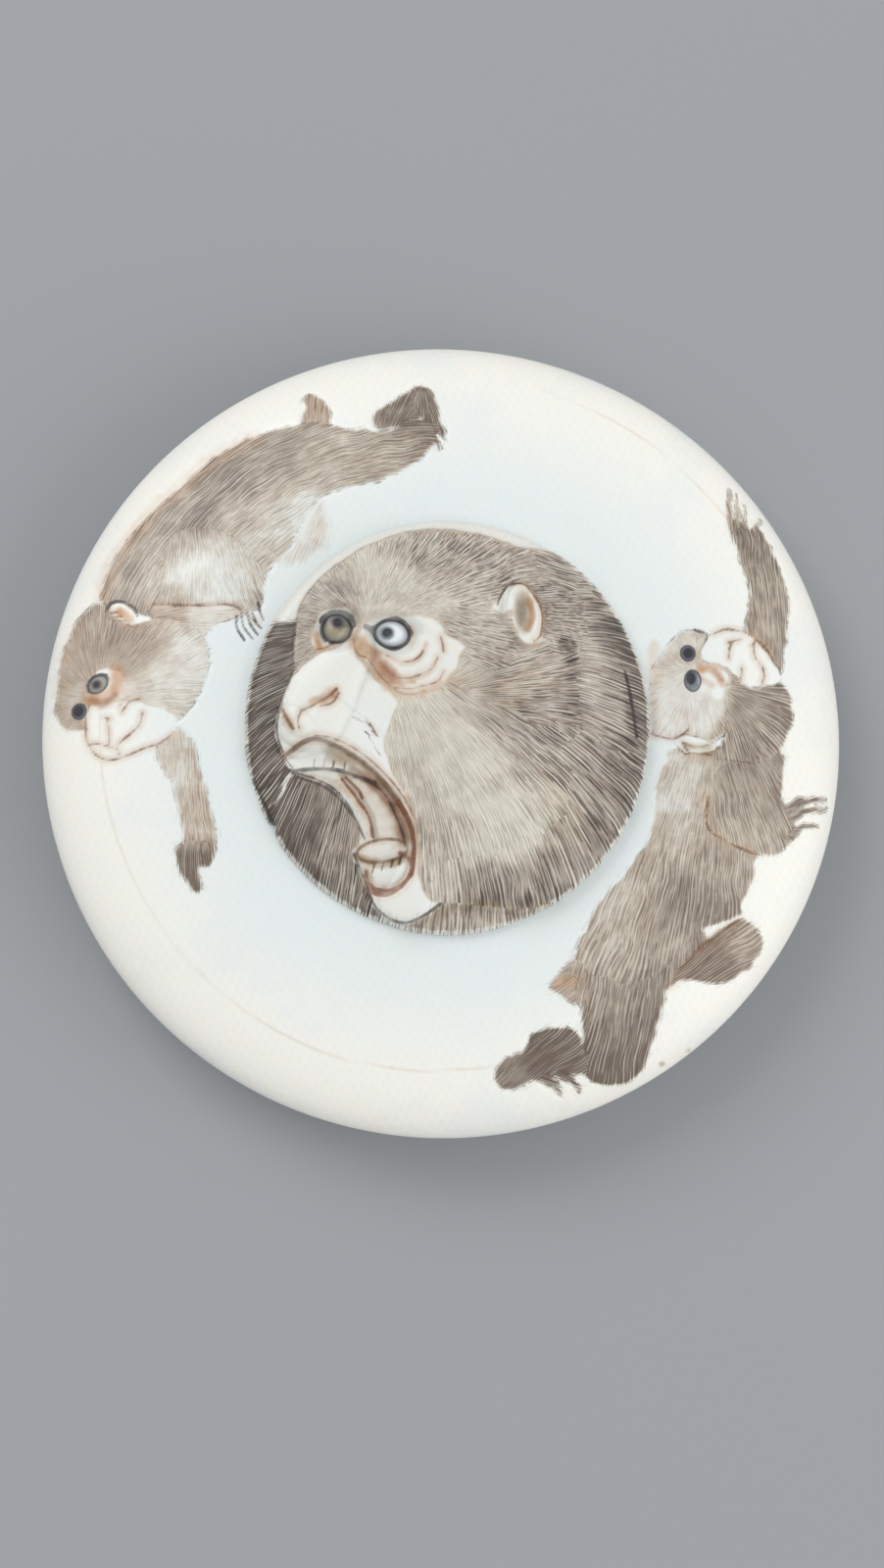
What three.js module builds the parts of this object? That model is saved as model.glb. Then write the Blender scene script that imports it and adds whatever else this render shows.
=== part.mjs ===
// A carved monkey plaque: a bun-shaped ivory disc, lying on its flat seat, carved from one piece.
// A raised roundel in the middle of the face is carved as a shouting monkey's head.
// Two more monkeys are cut into the smooth field around it as fine grooves.
// Millimetres, +Z out of the face, +Y to the top of the face, origin in the middle of the seat.
import * as THREE from 'three';
import { ConvexHull } from 'three/addons/math/ConvexHull.js';

// Driving sizes of the disc
const DISC_RADIUS = 24;
const SEAT_RADIUS = 15;
const EDGE_HEIGHT = 4.5;
const FACE_RISE = 4.7;
const FACE_ROUNDNESS = 3.6;
const BACK_ROUNDNESS = 2.3;

// Driving sizes of the roundel and the head on it
const ROUNDEL_HALF_WIDTH = 11.85;
const ROUNDEL_HALF_HEIGHT = 12.25;
const ROUNDEL_CENTRE_Y = -0.1;
const ROUNDEL_RISE = 1.25;
const ROUNDEL_WALL = 0.2;
const WALL_SHARE = 0.6;
const ROUNDEL_SHOULDER = 0.8;
const HEAD_DOME = 0.45;
const BACKGROUND_DROP = 0.4;
const STEP_WIDTH = 0.25;
const LOCK_DEPTH = 0.16;
const LOCK_COUNT = 30;
const LOCK_START = 0.5;
const LOCK_GROWTH = 0.3;
const LOCK_CENTRE = [-20, 30];

// Grooves that draw the two monkeys on the field
const GROOVE_DEPTH = 0.16;
const GROOVE_HALF_WIDTH = 0.3;

// How finely the faces are cut
const RIM_STEPS = 96;
const ROUNDEL_STEPS = 176;
const BACK_RINGS = 6;
const HEAD_SPACING = 0.52;
const FIELD_SPACING = 2.6;
const LINE_SPACING = 0.85;
const LOCK_SPACING = 0.7;
const EYE_STEPS = 14;
const EAR_STEPS = 22;
const FIELD_EYE_STEPS = 10;
const FACE_LEVELS = [0.22, 0.42, 0.6, 0.76];

// Least gaps between the places where the face is cut to corners
const RIM_GAP = 0.1;
const ROUNDEL_GAP = 0.12;
const STEP_GAP = 0.24;
const GROOVE_GAP = 0.26;
const FORM_GAP = 0.3;
const LOCK_GAP = 0.45;
const FACE_GAP = 0.55;
const OUTLINE_GAP = 0.6;
const GRID_SHARE = 0.62;

// How far the plain field reaches, and how near the rim a monkey's outline may run
const OPEN_FIELD_INSET = 0.8;
const OPEN_FIELD_SHARE = 0.9;
const OUTLINE_SHARE = 0.985;

// Carving is placed in hundredths of the roundel's half width, or of the disc's radius
const HEAD_UNIT = ROUNDEL_HALF_WIDTH / 100;
const FIELD_UNIT = DISC_RADIUS / 100;

// Edge of the head against what lies behind it: chin, open mouth, muzzle, brow and crown
const HEAD_EDGE = [
  [64, -84], [37, -92], [8, -90], [-4, -90], [-14, -97], [-24, -99], [-35, -92], [-41, -78], [-46, -66],
  [-42, -56], [-50, -40], [-60, -31], [-74, -26], [-80, -18], [-84, -5], [-81, 8], [-76, 22], [-75, 42],
  [-72, 58], [-60, 73], [-40, 87], [-22, 94], [-2, 96], [18, 93], [36, 87], [56, 86],
];

// Lines of the mouth
const LIP_LINE = [[-79, -20], [-66, -11], [-52, -15], [-36, -27], [-23, -45], [-17, -64], [-22, -79]];
const LOWER_LIP_LINE = [[-22, -79], [-30, -84], [-39, -79]];
const TEETH_LINE = [[-77, -27], [-59, -24], [-44, -28], [-33, -35]];
const TONGUE_LINE = [[-50, -30], [-42, -42], [-37, -57]];
const LOWER_TEETH = [{ at: [-33, -63], size: [13, 6], turn: 8 }, { at: [-29, -75], size: [11, 7], turn: 30 }];

// Rounded forms of the head: a chain of [x, y, radius], and how far it swells.
// A soft form runs out into what lies around it.
const HEAD_FORMS = [
  { name: 'snout', chain: [[-47, 36, 11], [-64, 12, 19], [-68, 2, 18]], swell: 0.75 },
  { name: 'upper lip', chain: [[-74, -10, 9], [-58, -2, 12], [-42, -12, 11], [-25, -34, 8]], swell: 0.4 },
  { name: 'jaw', chain: [[-17, -40, 7], [-10, -62, 8], [-18, -86, 12], [-26, -91, 9]], swell: 0.35 },
  {
    name: 'brow',
    chain: [[-68, 52, 8], [-54, 60, 9], [-41, 54, 7], [-27, 56, 9], [-12, 50, 8]],
    swell: 0.4,
    soft: true,
  },
  { name: 'cheek', chain: [[0, -2, 30], [12, -34, 36]], swell: 0.35, soft: true },
  { name: 'eye bag', chain: [[-38, 30, 8], [-26, 25, 12], [-12, 32, 10]], swell: 0.3, soft: true },
  { name: 'nostril wing', chain: [[-77, 1, 6], [-72, -4, 6]], swell: 0.2 },
  { name: 'ear tuft', chain: [[24, 60, 5], [22, 52, 5]], swell: 0.25, soft: true },
];

// Bare skin, where no fur grows: muzzle, lips, mouth and jaw
const BARE_SKIN = [
  [[-47, 36, 11], [-64, 12, 19], [-66, -6, 18]],
  [[-58, -12, 16], [-36, -36, 14], [-24, -70, 14], [-27, -84, 12]],
];

const EYES = [{ at: [-54, 47], radius: 7.5 }, { at: [-29, 44], radius: 8.5 }];
const EYE_SWELL = 0.4;
const SOCKET_DEPTH = 0.45;
const SOCKET_SHARE = 1.9;
const MOUTH_DEPTH = 0.75;
const TEETH_DEPTH = 0.3;
const TONGUE_DEPTH = 0.45;
const EAR = { at: [36, 55], size: [9.5, 15], turn: 6 };
const EAR_RIM = 0.55;
const EAR_HOLLOW = 0.45;

// Cuts on the head: a line through a few points, and its depth
const HEAD_CUTS = [
  { name: 'near nostril', line: [[-71, 3], [-63, 8], [-54, 10]], depth: 0.3 },
  { name: 'far nostril', line: [[-81, 4], [-76, -5]], depth: 0.25 },
  { name: 'nose fold', line: [[-71, 3], [-75, -6]], depth: 0.12 },
  { name: 'side of the nose', line: [[-46, 40], [-36, 24], [-25, 14], [-27, -2]], depth: 0.14 },
  { name: 'eye bag fold', line: [[-34, 26], [-20, 17], [-7, 28]], depth: 0.15 },
  { name: 'back of the head', line: [[58, 78], [64, 30], [64, -14]], depth: 0.16 },
  { name: 'neck crease', line: [[-95, -17], [-91, -34], [-84, -53]], depth: 0.25 },
  { name: 'crack', line: [[87, 29], [90, 12], [92, -4]], depth: 0.15 },
];

// Monkeys on the field, limb by limb: each a chain of [x, y, radius]
const FALLING_MONKEY = [
  [[-71, 36, 12], [-57, 52, 15], [-38, 63, 12]], [[-37, 49, 8], [-37, 60, 8]],
  [[-38, 66, 10], [-24, 66, 9], [-12, 68, 6], [-6, 75, 4]], [[-13, 77, 4], [-6, 83, 4]],
  [[-4, 80, 2], [0, 73, 1]], [[-35, 74, 4], [-32, 82, 3]], [[-64, 40, 10], [-58, 36, 9]],
  [[-70, 28, 4], [-53, 30, 4], [-47, 28, 2]], [[-47, 27, 2], [-47, 21, 1]], [[-81, 17, 14], [-72, 16, 13]],
  [[-90, 7, 6], [-84, 10, 8]], [[-81, 0, 8], [-71, 1, 7]], [[-65, 0, 5], [-61, -15, 4.5], [-60, -27, 4.5]],
  [[-63, -33, 3], [-61, -39, 2]], [[-59, -31, 1.5], [-59, -34, 1]],
];
const CLIMBING_MONKEY = [
  [[81, 22, 4.4], [80, 39, 4.4], [77, 50, 4]], [[76, 53, 3], [74, 60, 1]], [[77, 53, 2], [79, 56, 1]],
  [[60, 16, 8], [60, 6, 10]], [[76, 3, 10], [72, 10, 9]], [[71, 18, 7], [78, 16, 5]],
  [[65, -16, 13.5], [60, -31, 14.5], [49, -52, 15.5]], [[74, -12, 9], [75, -24, 8], [84, -24, 5]],
  [[85, -22, 2], [90, -17, 1], [95, -16, 0.6]], [[86, -25, 2], [91, -21, 1], [95, -20, 0.6]],
  [[64, -56, 6.3], [71, -53, 6]], [[46, -56, 15], [44, -70, 10], [42, -80, 9]],
  [[31, -80, 5.5], [25, -80, 6], [16, -84, 4]], [[24, -86, 1.2], [31, -89, 0.7]],
  [[34, -62, 5], [28, -62, 3.4]],
];
const FIELD_CUTS = [
  [[-94, 14], [-72, 8], [-68, -2]], [[-89, -4], [-81, -2], [-72, -3]], [[-62, 22], [-61, 30], [-70, 28]],
  [[-66, 48], [-54, 44], [-52, 32]], [[-36, 62], [-44, 52], [-38, 42]], [[-28, 60], [-20, 64], [-10, 66]],
  [[66, 22], [69, 12], [80, 11]], [[68, 4], [76, 8], [84, 4]], [[66, -8], [66, -20], [72, -30]],
  [[58, -48], [66, -50], [76, -47]], [[34, -50], [32, -60], [36, -70]], [[34, -84], [42, -86], [49, -80]],
];
const FIELD_EYES = [[-85, 9, 2.4], [-90, 4, 1.7], [60, 13, 1.9], [61, 8, 1.9]];

const clamp = THREE.MathUtils.clamp;
const smooth = THREE.MathUtils.smoothstep;

// A smooth line through a few points given in hundredths, as points in millimetres
function curveThrough(points, unit, spacing) {
  const spline = new THREE.SplineCurve(points.map(([x, y]) => new THREE.Vector2(x * unit, y * unit)));
  return spline.getSpacedPoints(Math.max(2, Math.ceil(spline.getLength() / spacing)));
}

// Distance from a place to a line, and the side of the line that it lies on
function nearLine(x, y, line) {
  let distance = Infinity;
  let side = 1;
  for (let i = 1; i < line.length; i += 1) {
    const a = line[i - 1];
    const b = line[i];
    const share = clamp(((x - a.x) * (b.x - a.x) + (y - a.y) * (b.y - a.y)) / a.distanceToSquared(b), 0, 1);
    const gap = Math.hypot(x - a.x - (b.x - a.x) * share, y - a.y - (b.y - a.y) * share);
    if (gap < distance) {
      distance = gap;
      side = Math.sign((b.x - a.x) * (y - a.y) - (b.y - a.y) * (x - a.x)) || 1;
    }
  }
  return { distance, side };
}

// Distance to a chain of round limbs, below zero inside it, with the limb's radius there
function nearChain(x, y, chain, unit) {
  let best = { distance: Infinity, radius: 0 };
  for (let i = 1; i < chain.length; i += 1) {
    const [ax, ay, ar] = chain[i - 1].map((value) => value * unit);
    const [bx, by, br] = chain[i].map((value) => value * unit);
    const squared = (bx - ax) ** 2 + (by - ay) ** 2;
    const share = clamp(((x - ax) * (bx - ax) + (y - ay) * (by - ay)) / squared, 0, 1);
    const radius = ar + (br - ar) * share;
    const distance = Math.hypot(x - ax - (bx - ax) * share, y - ay - (by - ay) * share) - radius;
    if (distance < best.distance) best = { distance, radius };
  }
  return best;
}

// Distance from the edge of a turned ellipse, in shares of its size: 0 in the middle, 1 on the edge
function withinEllipse(x, y, { at, size, turn }) {
  const angle = THREE.MathUtils.degToRad(turn);
  const dx = x / HEAD_UNIT - at[0];
  const dy = y / HEAD_UNIT - at[1];
  const along = dx * Math.cos(angle) + dy * Math.sin(angle);
  const across = dy * Math.cos(angle) - dx * Math.sin(angle);
  return Math.hypot(along / size[0], across / size[1]);
}

const dome = (share) => Math.sqrt(Math.max(0, 1 - share * share));
const groove = (distance, depth, halfWidth) => -depth * Math.max(0, 1 - distance / halfWidth);

const headEdge = curveThrough(HEAD_EDGE, HEAD_UNIT, HEAD_SPACING);
const lipLine = curveThrough(LIP_LINE, HEAD_UNIT, HEAD_SPACING);
const lowerLipLine = curveThrough(LOWER_LIP_LINE, HEAD_UNIT, HEAD_SPACING);
const teethLine = curveThrough(TEETH_LINE, HEAD_UNIT, HEAD_SPACING);
const tongueLine = curveThrough(TONGUE_LINE, HEAD_UNIT, HEAD_SPACING);
const headCuts = HEAD_CUTS.map((cut) => ({ ...cut, line: curveThrough(cut.line, HEAD_UNIT, LINE_SPACING) }));
const fieldCuts = FIELD_CUTS.map((line) => curveThrough(line, FIELD_UNIT, LINE_SPACING));
const monkeys = [FALLING_MONKEY, CLIMBING_MONKEY];

// Height of the smooth face without any carving
function faceHeight(x, y) {
  const share = Math.min(Math.hypot(x, y) / DISC_RADIUS, 1);
  return EDGE_HEIGHT + FACE_RISE * Math.sqrt(1 - share ** FACE_ROUNDNESS);
}

// How far inside the roundel's edge a place lies
function roundelInset(x, y) {
  const share = Math.hypot(x / ROUNDEL_HALF_WIDTH, (y - ROUNDEL_CENTRE_Y) / ROUNDEL_HALF_HEIGHT);
  return (1 - share) * (ROUNDEL_HALF_WIDTH + ROUNDEL_HALF_HEIGHT) / 2;
}

// The open mouth: behind the teeth and the tongue, between the lip and the edge of the head
function mouthHeight(x, y) {
  const lip = nearLine(x, y, lipLine);
  const lower = nearLine(x, y, lowerLipLine);
  const lipGap = Math.min(lip.distance, lower.distance);
  const nearest = lip.distance < lower.distance ? lip : lower;
  if (nearest.side > 0) return groove(lipGap, MOUTH_DEPTH, STEP_WIDTH);
  const teeth = nearLine(x, y, teethLine);
  const behindTeeth = teeth.side < 0 ? smooth(teeth.distance, 0, STEP_WIDTH) : 0;
  const tongue = nearLine(x, y, tongueLine);
  const onTongue = tongue.side < 0 && behindTeeth > 0;
  let depth = THREE.MathUtils.lerp(TEETH_DEPTH, onTongue ? TONGUE_DEPTH : MOUTH_DEPTH, behindTeeth);
  for (const tooth of LOWER_TEETH) {
    depth = Math.min(depth, MOUTH_DEPTH - (MOUTH_DEPTH - TEETH_DEPTH) * dome(withinEllipse(x, y, tooth)));
  }
  return -depth * smooth(lipGap, 0, STEP_WIDTH) - MOUTH_DEPTH * Math.max(0, 0.5 - lipGap);
}

// Locks of fur that fan out from the face to the roundel's edge
function lockHeight(x, y, inset) {
  const dx = x - LOCK_CENTRE[0] * HEAD_UNIT;
  const dy = y - LOCK_CENTRE[1] * HEAD_UNIT;
  const turn = Math.atan2(dy, dx) / (2 * Math.PI) + 1;
  const wave = Math.abs(((turn * LOCK_COUNT) % 1) - 0.5) * 2;
  const growth = smooth(Math.hypot(dx, dy) / ROUNDEL_HALF_WIDTH, LOCK_START, LOCK_START + LOCK_GROWTH);
  const skin = Math.min(...BARE_SKIN.map((chain) => nearChain(x, y, chain, HEAD_UNIT).distance));
  return -LOCK_DEPTH * wave * growth * smooth(skin, 0, 1) * Math.min(inset / ROUNDEL_WALL, 1);
}

// Height of the carved head above the smooth face
function headHeight(x, y) {
  const inset = roundelInset(x, y);
  if (inset <= 0) return 0;
  const shoulder = dome(1 - Math.min(inset / ROUNDEL_SHOULDER, 1));
  const wall = Math.min(inset / ROUNDEL_WALL, 1);
  let height = ROUNDEL_RISE * (WALL_SHARE * wall + (1 - WALL_SHARE) * shoulder);
  height += HEAD_DOME * dome(1 - inset / ROUNDEL_HALF_WIDTH);
  const edge = nearLine(x, y, headEdge);
  const behind = edge.side > 0 ? smooth(edge.distance, 0, STEP_WIDTH) : 0;
  height -= BACKGROUND_DROP * behind * wall;
  const onHead = 1 - behind;
  for (const form of HEAD_FORMS) {
    const { distance, radius } = nearChain(x, y, form.chain, HEAD_UNIT);
    const share = clamp(1 + distance / radius, 0, 1);
    height += form.swell * (form.soft ? (1 - share * share) ** 2 : dome(share)) * onHead;
  }
  for (const eye of EYES) {
    const gap = Math.hypot(x - eye.at[0] * HEAD_UNIT, y - eye.at[1] * HEAD_UNIT) / (eye.radius * HEAD_UNIT);
    height -= SOCKET_DEPTH * (1 - smooth(gap, 1, SOCKET_SHARE)) * onHead;
    height += EYE_SWELL * dome(gap);
  }
  const ear = withinEllipse(x, y, EAR);
  height += EAR_RIM * smooth(ear, 0, 0.75) * (1 - smooth(ear, 1, 1.25));
  height -= EAR_HOLLOW * (1 - smooth(ear, 0, 0.8));
  height += mouthHeight(x, y) * onHead;
  for (const cut of headCuts) {
    const { distance } = nearLine(x, y, cut.line);
    height += groove(distance, cut.depth, GROOVE_HALF_WIDTH);
  }
  return height + lockHeight(x, y, inset);
}

// Grooves of the two monkeys and of the lines inside them
function fieldHeight(x, y) {
  let height = 0;
  for (const limbs of monkeys) {
    const outline = Math.min(...limbs.map((chain) => nearChain(x, y, chain, FIELD_UNIT).distance));
    height = Math.min(height, groove(Math.abs(outline), GROOVE_DEPTH, GROOVE_HALF_WIDTH));
  }
  for (const line of fieldCuts) {
    height = Math.min(height, groove(nearLine(x, y, line).distance, GROOVE_DEPTH, GROOVE_HALF_WIDTH));
  }
  for (const [ex, ey, radius] of FIELD_EYES) {
    const gap = Math.abs(Math.hypot(x - ex * FIELD_UNIT, y - ey * FIELD_UNIT) - radius * FIELD_UNIT);
    height = Math.min(height, groove(gap, GROOVE_DEPTH, GROOVE_HALF_WIDTH));
  }
  return height;
}

function carvedHeight(x, y) {
  const onRoundel = roundelInset(x, y) > 0;
  return faceHeight(x, y) + (onRoundel ? headHeight(x, y) : fieldHeight(x, y));
}

// The places where the face is cut to corners, kept apart by a least gap
class Places {
  constructor() {
    this.list = [];
    this.cells = new Map();
    this.seed = 7;
  }

  // A small even shift, so that no four places lie on one circle
  shift() {
    this.seed = (this.seed * 16807) % 2147483647;
    return (this.seed / 2147483647 - 0.5) * 0.004;
  }

  add(x, y, gap, free = true) {
    const reach = Math.ceil(gap);
    const column = Math.floor(x);
    const row = Math.floor(y);
    for (let i = -reach; i <= reach; i += 1) {
      for (let j = -reach; j <= reach; j += 1) {
        const near = this.cells.get(`${column + i},${row + j}`) ?? [];
        if (near.some((place) => Math.hypot(place[0] - x, place[1] - y) < gap)) return;
      }
    }
    const place = free ? [x + this.shift(), y + this.shift()] : [x, y];
    this.list.push(place);
    const key = `${column},${row}`;
    this.cells.set(key, [...(this.cells.get(key) ?? []), place]);
  }

  ring(radiusX, radiusY, centreY, steps, gap, free = true) {
    for (let i = 0; i < steps; i += 1) {
      const angle = (i / steps) * 2 * Math.PI;
      this.add(radiusX * Math.cos(angle), centreY + radiusY * Math.sin(angle), gap, free);
    }
  }

  // Rows of places along a line, at the given distances from it
  rows(line, offsets, gap) {
    for (const offset of offsets) {
      for (let i = 0; i < line.length; i += 1) {
        const before = line[Math.max(0, i - 1)];
        const after = line[Math.min(line.length - 1, i + 1)];
        const length = before.distanceTo(after);
        const across = [-(after.y - before.y) / length, (after.x - before.x) / length];
        this.add(line[i].x + across[0] * offset, line[i].y + across[1] * offset, gap);
      }
    }
  }
}

// Outline of one limb as rows of places, where no other limb covers it
function outlineLimb(places, chain, limbs) {
  const outside = (x, y) => Math.min(...limbs.map((other) => nearChain(x, y, other, FIELD_UNIT).distance));
  const samples = [];
  for (let i = 0; i < chain.length; i += 1) {
    const [x, y, radius] = chain[i].map((value) => value * FIELD_UNIT);
    const steps = Math.max(6, Math.round((2 * Math.PI * radius) / LINE_SPACING));
    for (let k = 0; k < steps; k += 1) {
      const angle = (k / steps) * 2 * Math.PI;
      samples.push([x, y, radius, Math.cos(angle), Math.sin(angle)]);
    }
    if (i === 0) continue;
    const [px, py, pr] = chain[i - 1].map((value) => value * FIELD_UNIT);
    const length = Math.hypot(x - px, y - py);
    const parts = Math.ceil(length / LINE_SPACING);
    for (let k = 1; k < parts; k += 1) {
      const share = k / parts;
      for (const side of [-1, 1]) {
        const across = [(-side * (y - py)) / length, (side * (x - px)) / length];
        samples.push([px + (x - px) * share, py + (y - py) * share, pr + (radius - pr) * share, ...across]);
      }
    }
  }
  for (const offset of [0, -GROOVE_HALF_WIDTH, GROOVE_HALF_WIDTH]) {
    for (const [x, y, radius, dx, dy] of samples) {
      const at = [x + dx * (radius + offset), y + dy * (radius + offset)];
      const fits = Math.abs(outside(...at) - offset) < 0.05 && roundelInset(...at) < -ROUNDEL_WALL;
      if (!fits || Math.hypot(...at) >= DISC_RADIUS * OUTLINE_SHARE) continue;
      places.add(...at, offset === 0 ? OUTLINE_GAP : GROOVE_GAP);
    }
  }
}

// A ring of places at a distance inside the roundel's edge
function roundelRing(places, inset, gap) {
  const share = 1 - (2 * inset) / (ROUNDEL_HALF_WIDTH + ROUNDEL_HALF_HEIGHT);
  const sizes = [ROUNDEL_HALF_WIDTH * share, ROUNDEL_HALF_HEIGHT * share];
  places.ring(...sizes, ROUNDEL_CENTRE_Y, ROUNDEL_STEPS, gap);
}

// All places of the face, from the rim inwards, close together where the carving is
function facePlaces() {
  const places = new Places();
  places.ring(DISC_RADIUS, DISC_RADIUS, 0, RIM_STEPS, RIM_GAP, false);
  for (const limbs of monkeys) {
    for (const chain of limbs) outlineLimb(places, chain, limbs);
  }
  const onField = (point) => roundelInset(point.x, point.y) < -ROUNDEL_WALL;
  for (const line of fieldCuts) {
    places.rows(line.filter(onField), [0, -GROOVE_HALF_WIDTH, GROOVE_HALF_WIDTH], GROOVE_GAP);
  }
  for (const [x, y, radius] of FIELD_EYES) {
    for (let k = 0; k < FIELD_EYE_STEPS; k += 1) {
      const angle = (k / FIELD_EYE_STEPS) * 2 * Math.PI;
      const reach = radius * FIELD_UNIT;
      places.add(x * FIELD_UNIT + reach * Math.cos(angle), y * FIELD_UNIT + reach * Math.sin(angle), 0.2);
    }
    places.add(x * FIELD_UNIT, y * FIELD_UNIT, 0.15);
  }
  roundelRing(places, 0, ROUNDEL_GAP);
  roundelRing(places, ROUNDEL_WALL, ROUNDEL_GAP);
  const onHead = (point) => roundelInset(point.x, point.y) > 2 * ROUNDEL_WALL;
  places.rows(headEdge.filter(onHead), [0, STEP_WIDTH], STEP_GAP);
  roundelRing(places, ROUNDEL_SHOULDER, FORM_GAP);
  for (const line of [lipLine, lowerLipLine, teethLine, tongueLine]) {
    places.rows(line, [0, -STEP_WIDTH], STEP_GAP);
  }
  for (const eye of EYES) {
    for (const share of [1, 0.6, 1.45]) {
      for (let k = 0; k < EYE_STEPS; k += 1) {
        const angle = (k / EYE_STEPS) * 2 * Math.PI;
        const reach = eye.radius * HEAD_UNIT * share;
        const at = eye.at.map((value) => value * HEAD_UNIT);
        places.add(at[0] + reach * Math.cos(angle), at[1] + reach * Math.sin(angle), FORM_GAP);
      }
    }
  }
  for (const share of [1.25, 1, 0.8, 0.4]) {
    for (let k = 0; k < EAR_STEPS; k += 1) {
      const angle = (k / EAR_STEPS) * 2 * Math.PI;
      const x = EAR.at[0] + EAR.size[0] * share * Math.cos(angle);
      const y = EAR.at[1] + EAR.size[1] * share * Math.sin(angle);
      places.add(x * HEAD_UNIT, y * HEAD_UNIT, FORM_GAP);
    }
  }
  for (let k = 0; k < 2 * LOCK_COUNT; k += 1) {
    const angle = (k / LOCK_COUNT) * Math.PI;
    const start = LOCK_START * ROUNDEL_HALF_WIDTH;
    for (let reach = start; reach < 2 * ROUNDEL_HALF_HEIGHT; reach += LOCK_SPACING) {
      const x = LOCK_CENTRE[0] * HEAD_UNIT + reach * Math.cos(angle);
      const y = LOCK_CENTRE[1] * HEAD_UNIT + reach * Math.sin(angle);
      if (roundelInset(x, y) > ROUNDEL_SHOULDER) places.add(x, y, LOCK_GAP);
    }
  }
  for (const cut of headCuts) {
    places.rows(cut.line.filter(onHead), [0, -GROOVE_HALF_WIDTH, GROOVE_HALF_WIDTH], GROOVE_GAP);
  }
  for (const level of FACE_LEVELS) {
    const radius = DISC_RADIUS * (1 - level * level) ** (1 / FACE_ROUNDNESS);
    places.ring(radius, radius, 0, RIM_STEPS, FACE_GAP);
  }
  fillGrid(places, ROUNDEL_HALF_HEIGHT, HEAD_SPACING, (x, y) => roundelInset(x, y) > ROUNDEL_SHOULDER);
  const openReach = OPEN_FIELD_SHARE * DISC_RADIUS;
  const openField = (x, y) => roundelInset(x, y) < -OPEN_FIELD_INSET && Math.hypot(x, y) < openReach;
  fillGrid(places, DISC_RADIUS, FIELD_SPACING, openField);
  return places.list;
}

// Even places in a triangle pattern over the rest of a region
function fillGrid(places, reach, spacing, inside) {
  const rowHeight = (spacing * Math.sqrt(3)) / 2;
  const rows = Math.ceil(reach / rowHeight);
  for (let row = -rows; row <= rows; row += 1) {
    for (let column = -rows; column <= rows; column += 1) {
      const x = (column + (row % 2 === 0 ? 0 : 0.5)) * spacing;
      const y = row * rowHeight;
      if (inside(x, y)) places.add(x, y, spacing * GRID_SHARE);
    }
  }
}

// Triangles between the places, found as the underside of the places lifted onto a bowl
function joinPlaces(list) {
  const lifted = list.map(([x, y]) => new THREE.Vector3(x, y, x * x + y * y));
  const order = new Map(lifted.map((point, index) => [point, index]));
  const hull = new ConvexHull().setFromPoints(lifted);
  const triangles = [];
  for (const face of hull.faces) {
    if (face.normal.z >= 0) continue;
    const edges = [face.edge, face.edge.next, face.edge.next.next];
    const corners = edges.map((edge) => order.get(edge.head().point));
    triangles.push([corners[0], corners[2], corners[1]]);
  }
  return triangles;
}

// The whole disc: carved face, rounded edge and back, and the flat seat
function carvedDisc() {
  const list = facePlaces();
  const positions = list.map(([x, y]) => [x, y, carvedHeight(x, y)]);
  const triangles = joinPlaces(list);
  let rim = [...Array(RIM_STEPS).keys()];
  for (let ring = 1; ring <= BACK_RINGS; ring += 1) {
    const bend = (ring / BACK_RINGS) * Math.PI / 2;
    const drop = Math.sin(bend) ** (2 / BACK_ROUNDNESS);
    const spread = ring === BACK_RINGS ? 0 : Math.cos(bend) ** (2 / BACK_ROUNDNESS);
    const radius = SEAT_RADIUS + (DISC_RADIUS - SEAT_RADIUS) * spread;
    const start = positions.length;
    for (let i = 0; i < RIM_STEPS; i += 1) {
      const angle = (i / RIM_STEPS) * 2 * Math.PI;
      positions.push([radius * Math.cos(angle), radius * Math.sin(angle), EDGE_HEIGHT * (1 - drop)]);
      const next = (i + 1) % RIM_STEPS;
      triangles.push([rim[i], start + i, start + next], [rim[i], start + next, rim[next]]);
    }
    rim = rim.map((_, i) => start + i);
  }
  for (let i = 1; i < RIM_STEPS - 1; i += 1) triangles.push([rim[0], rim[i + 1], rim[i]]);
  const geometry = new THREE.BufferGeometry();
  geometry.setAttribute('position', new THREE.Float32BufferAttribute(positions.flat(), 3));
  geometry.setIndex(triangles.flat());
  geometry.computeVertexNormals();
  return geometry;
}

const ivory = new THREE.MeshStandardMaterial({ color: 0xf0eadb, roughness: 0.35, metalness: 0 });
const group = new THREE.Group();
const plaque = new THREE.Mesh(carvedDisc(), ivory);
plaque.name = 'carved_disc';
group.add(plaque);

export default group;
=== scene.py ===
"""Dressed model of a carved monkey plaque: a bun-shaped ivory disc lying on a pale floor.

The face carries a raised roundel, carved as a shouting monkey's head, and two monkeys
engraved on the smooth field around it. Lengths are in millimetres until a mesh is made.
"""
from __future__ import annotations

import logging
import math
from dataclasses import dataclass
from enum import Enum

import bpy
import numpy as np
from mathutils import Matrix, Vector


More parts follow.
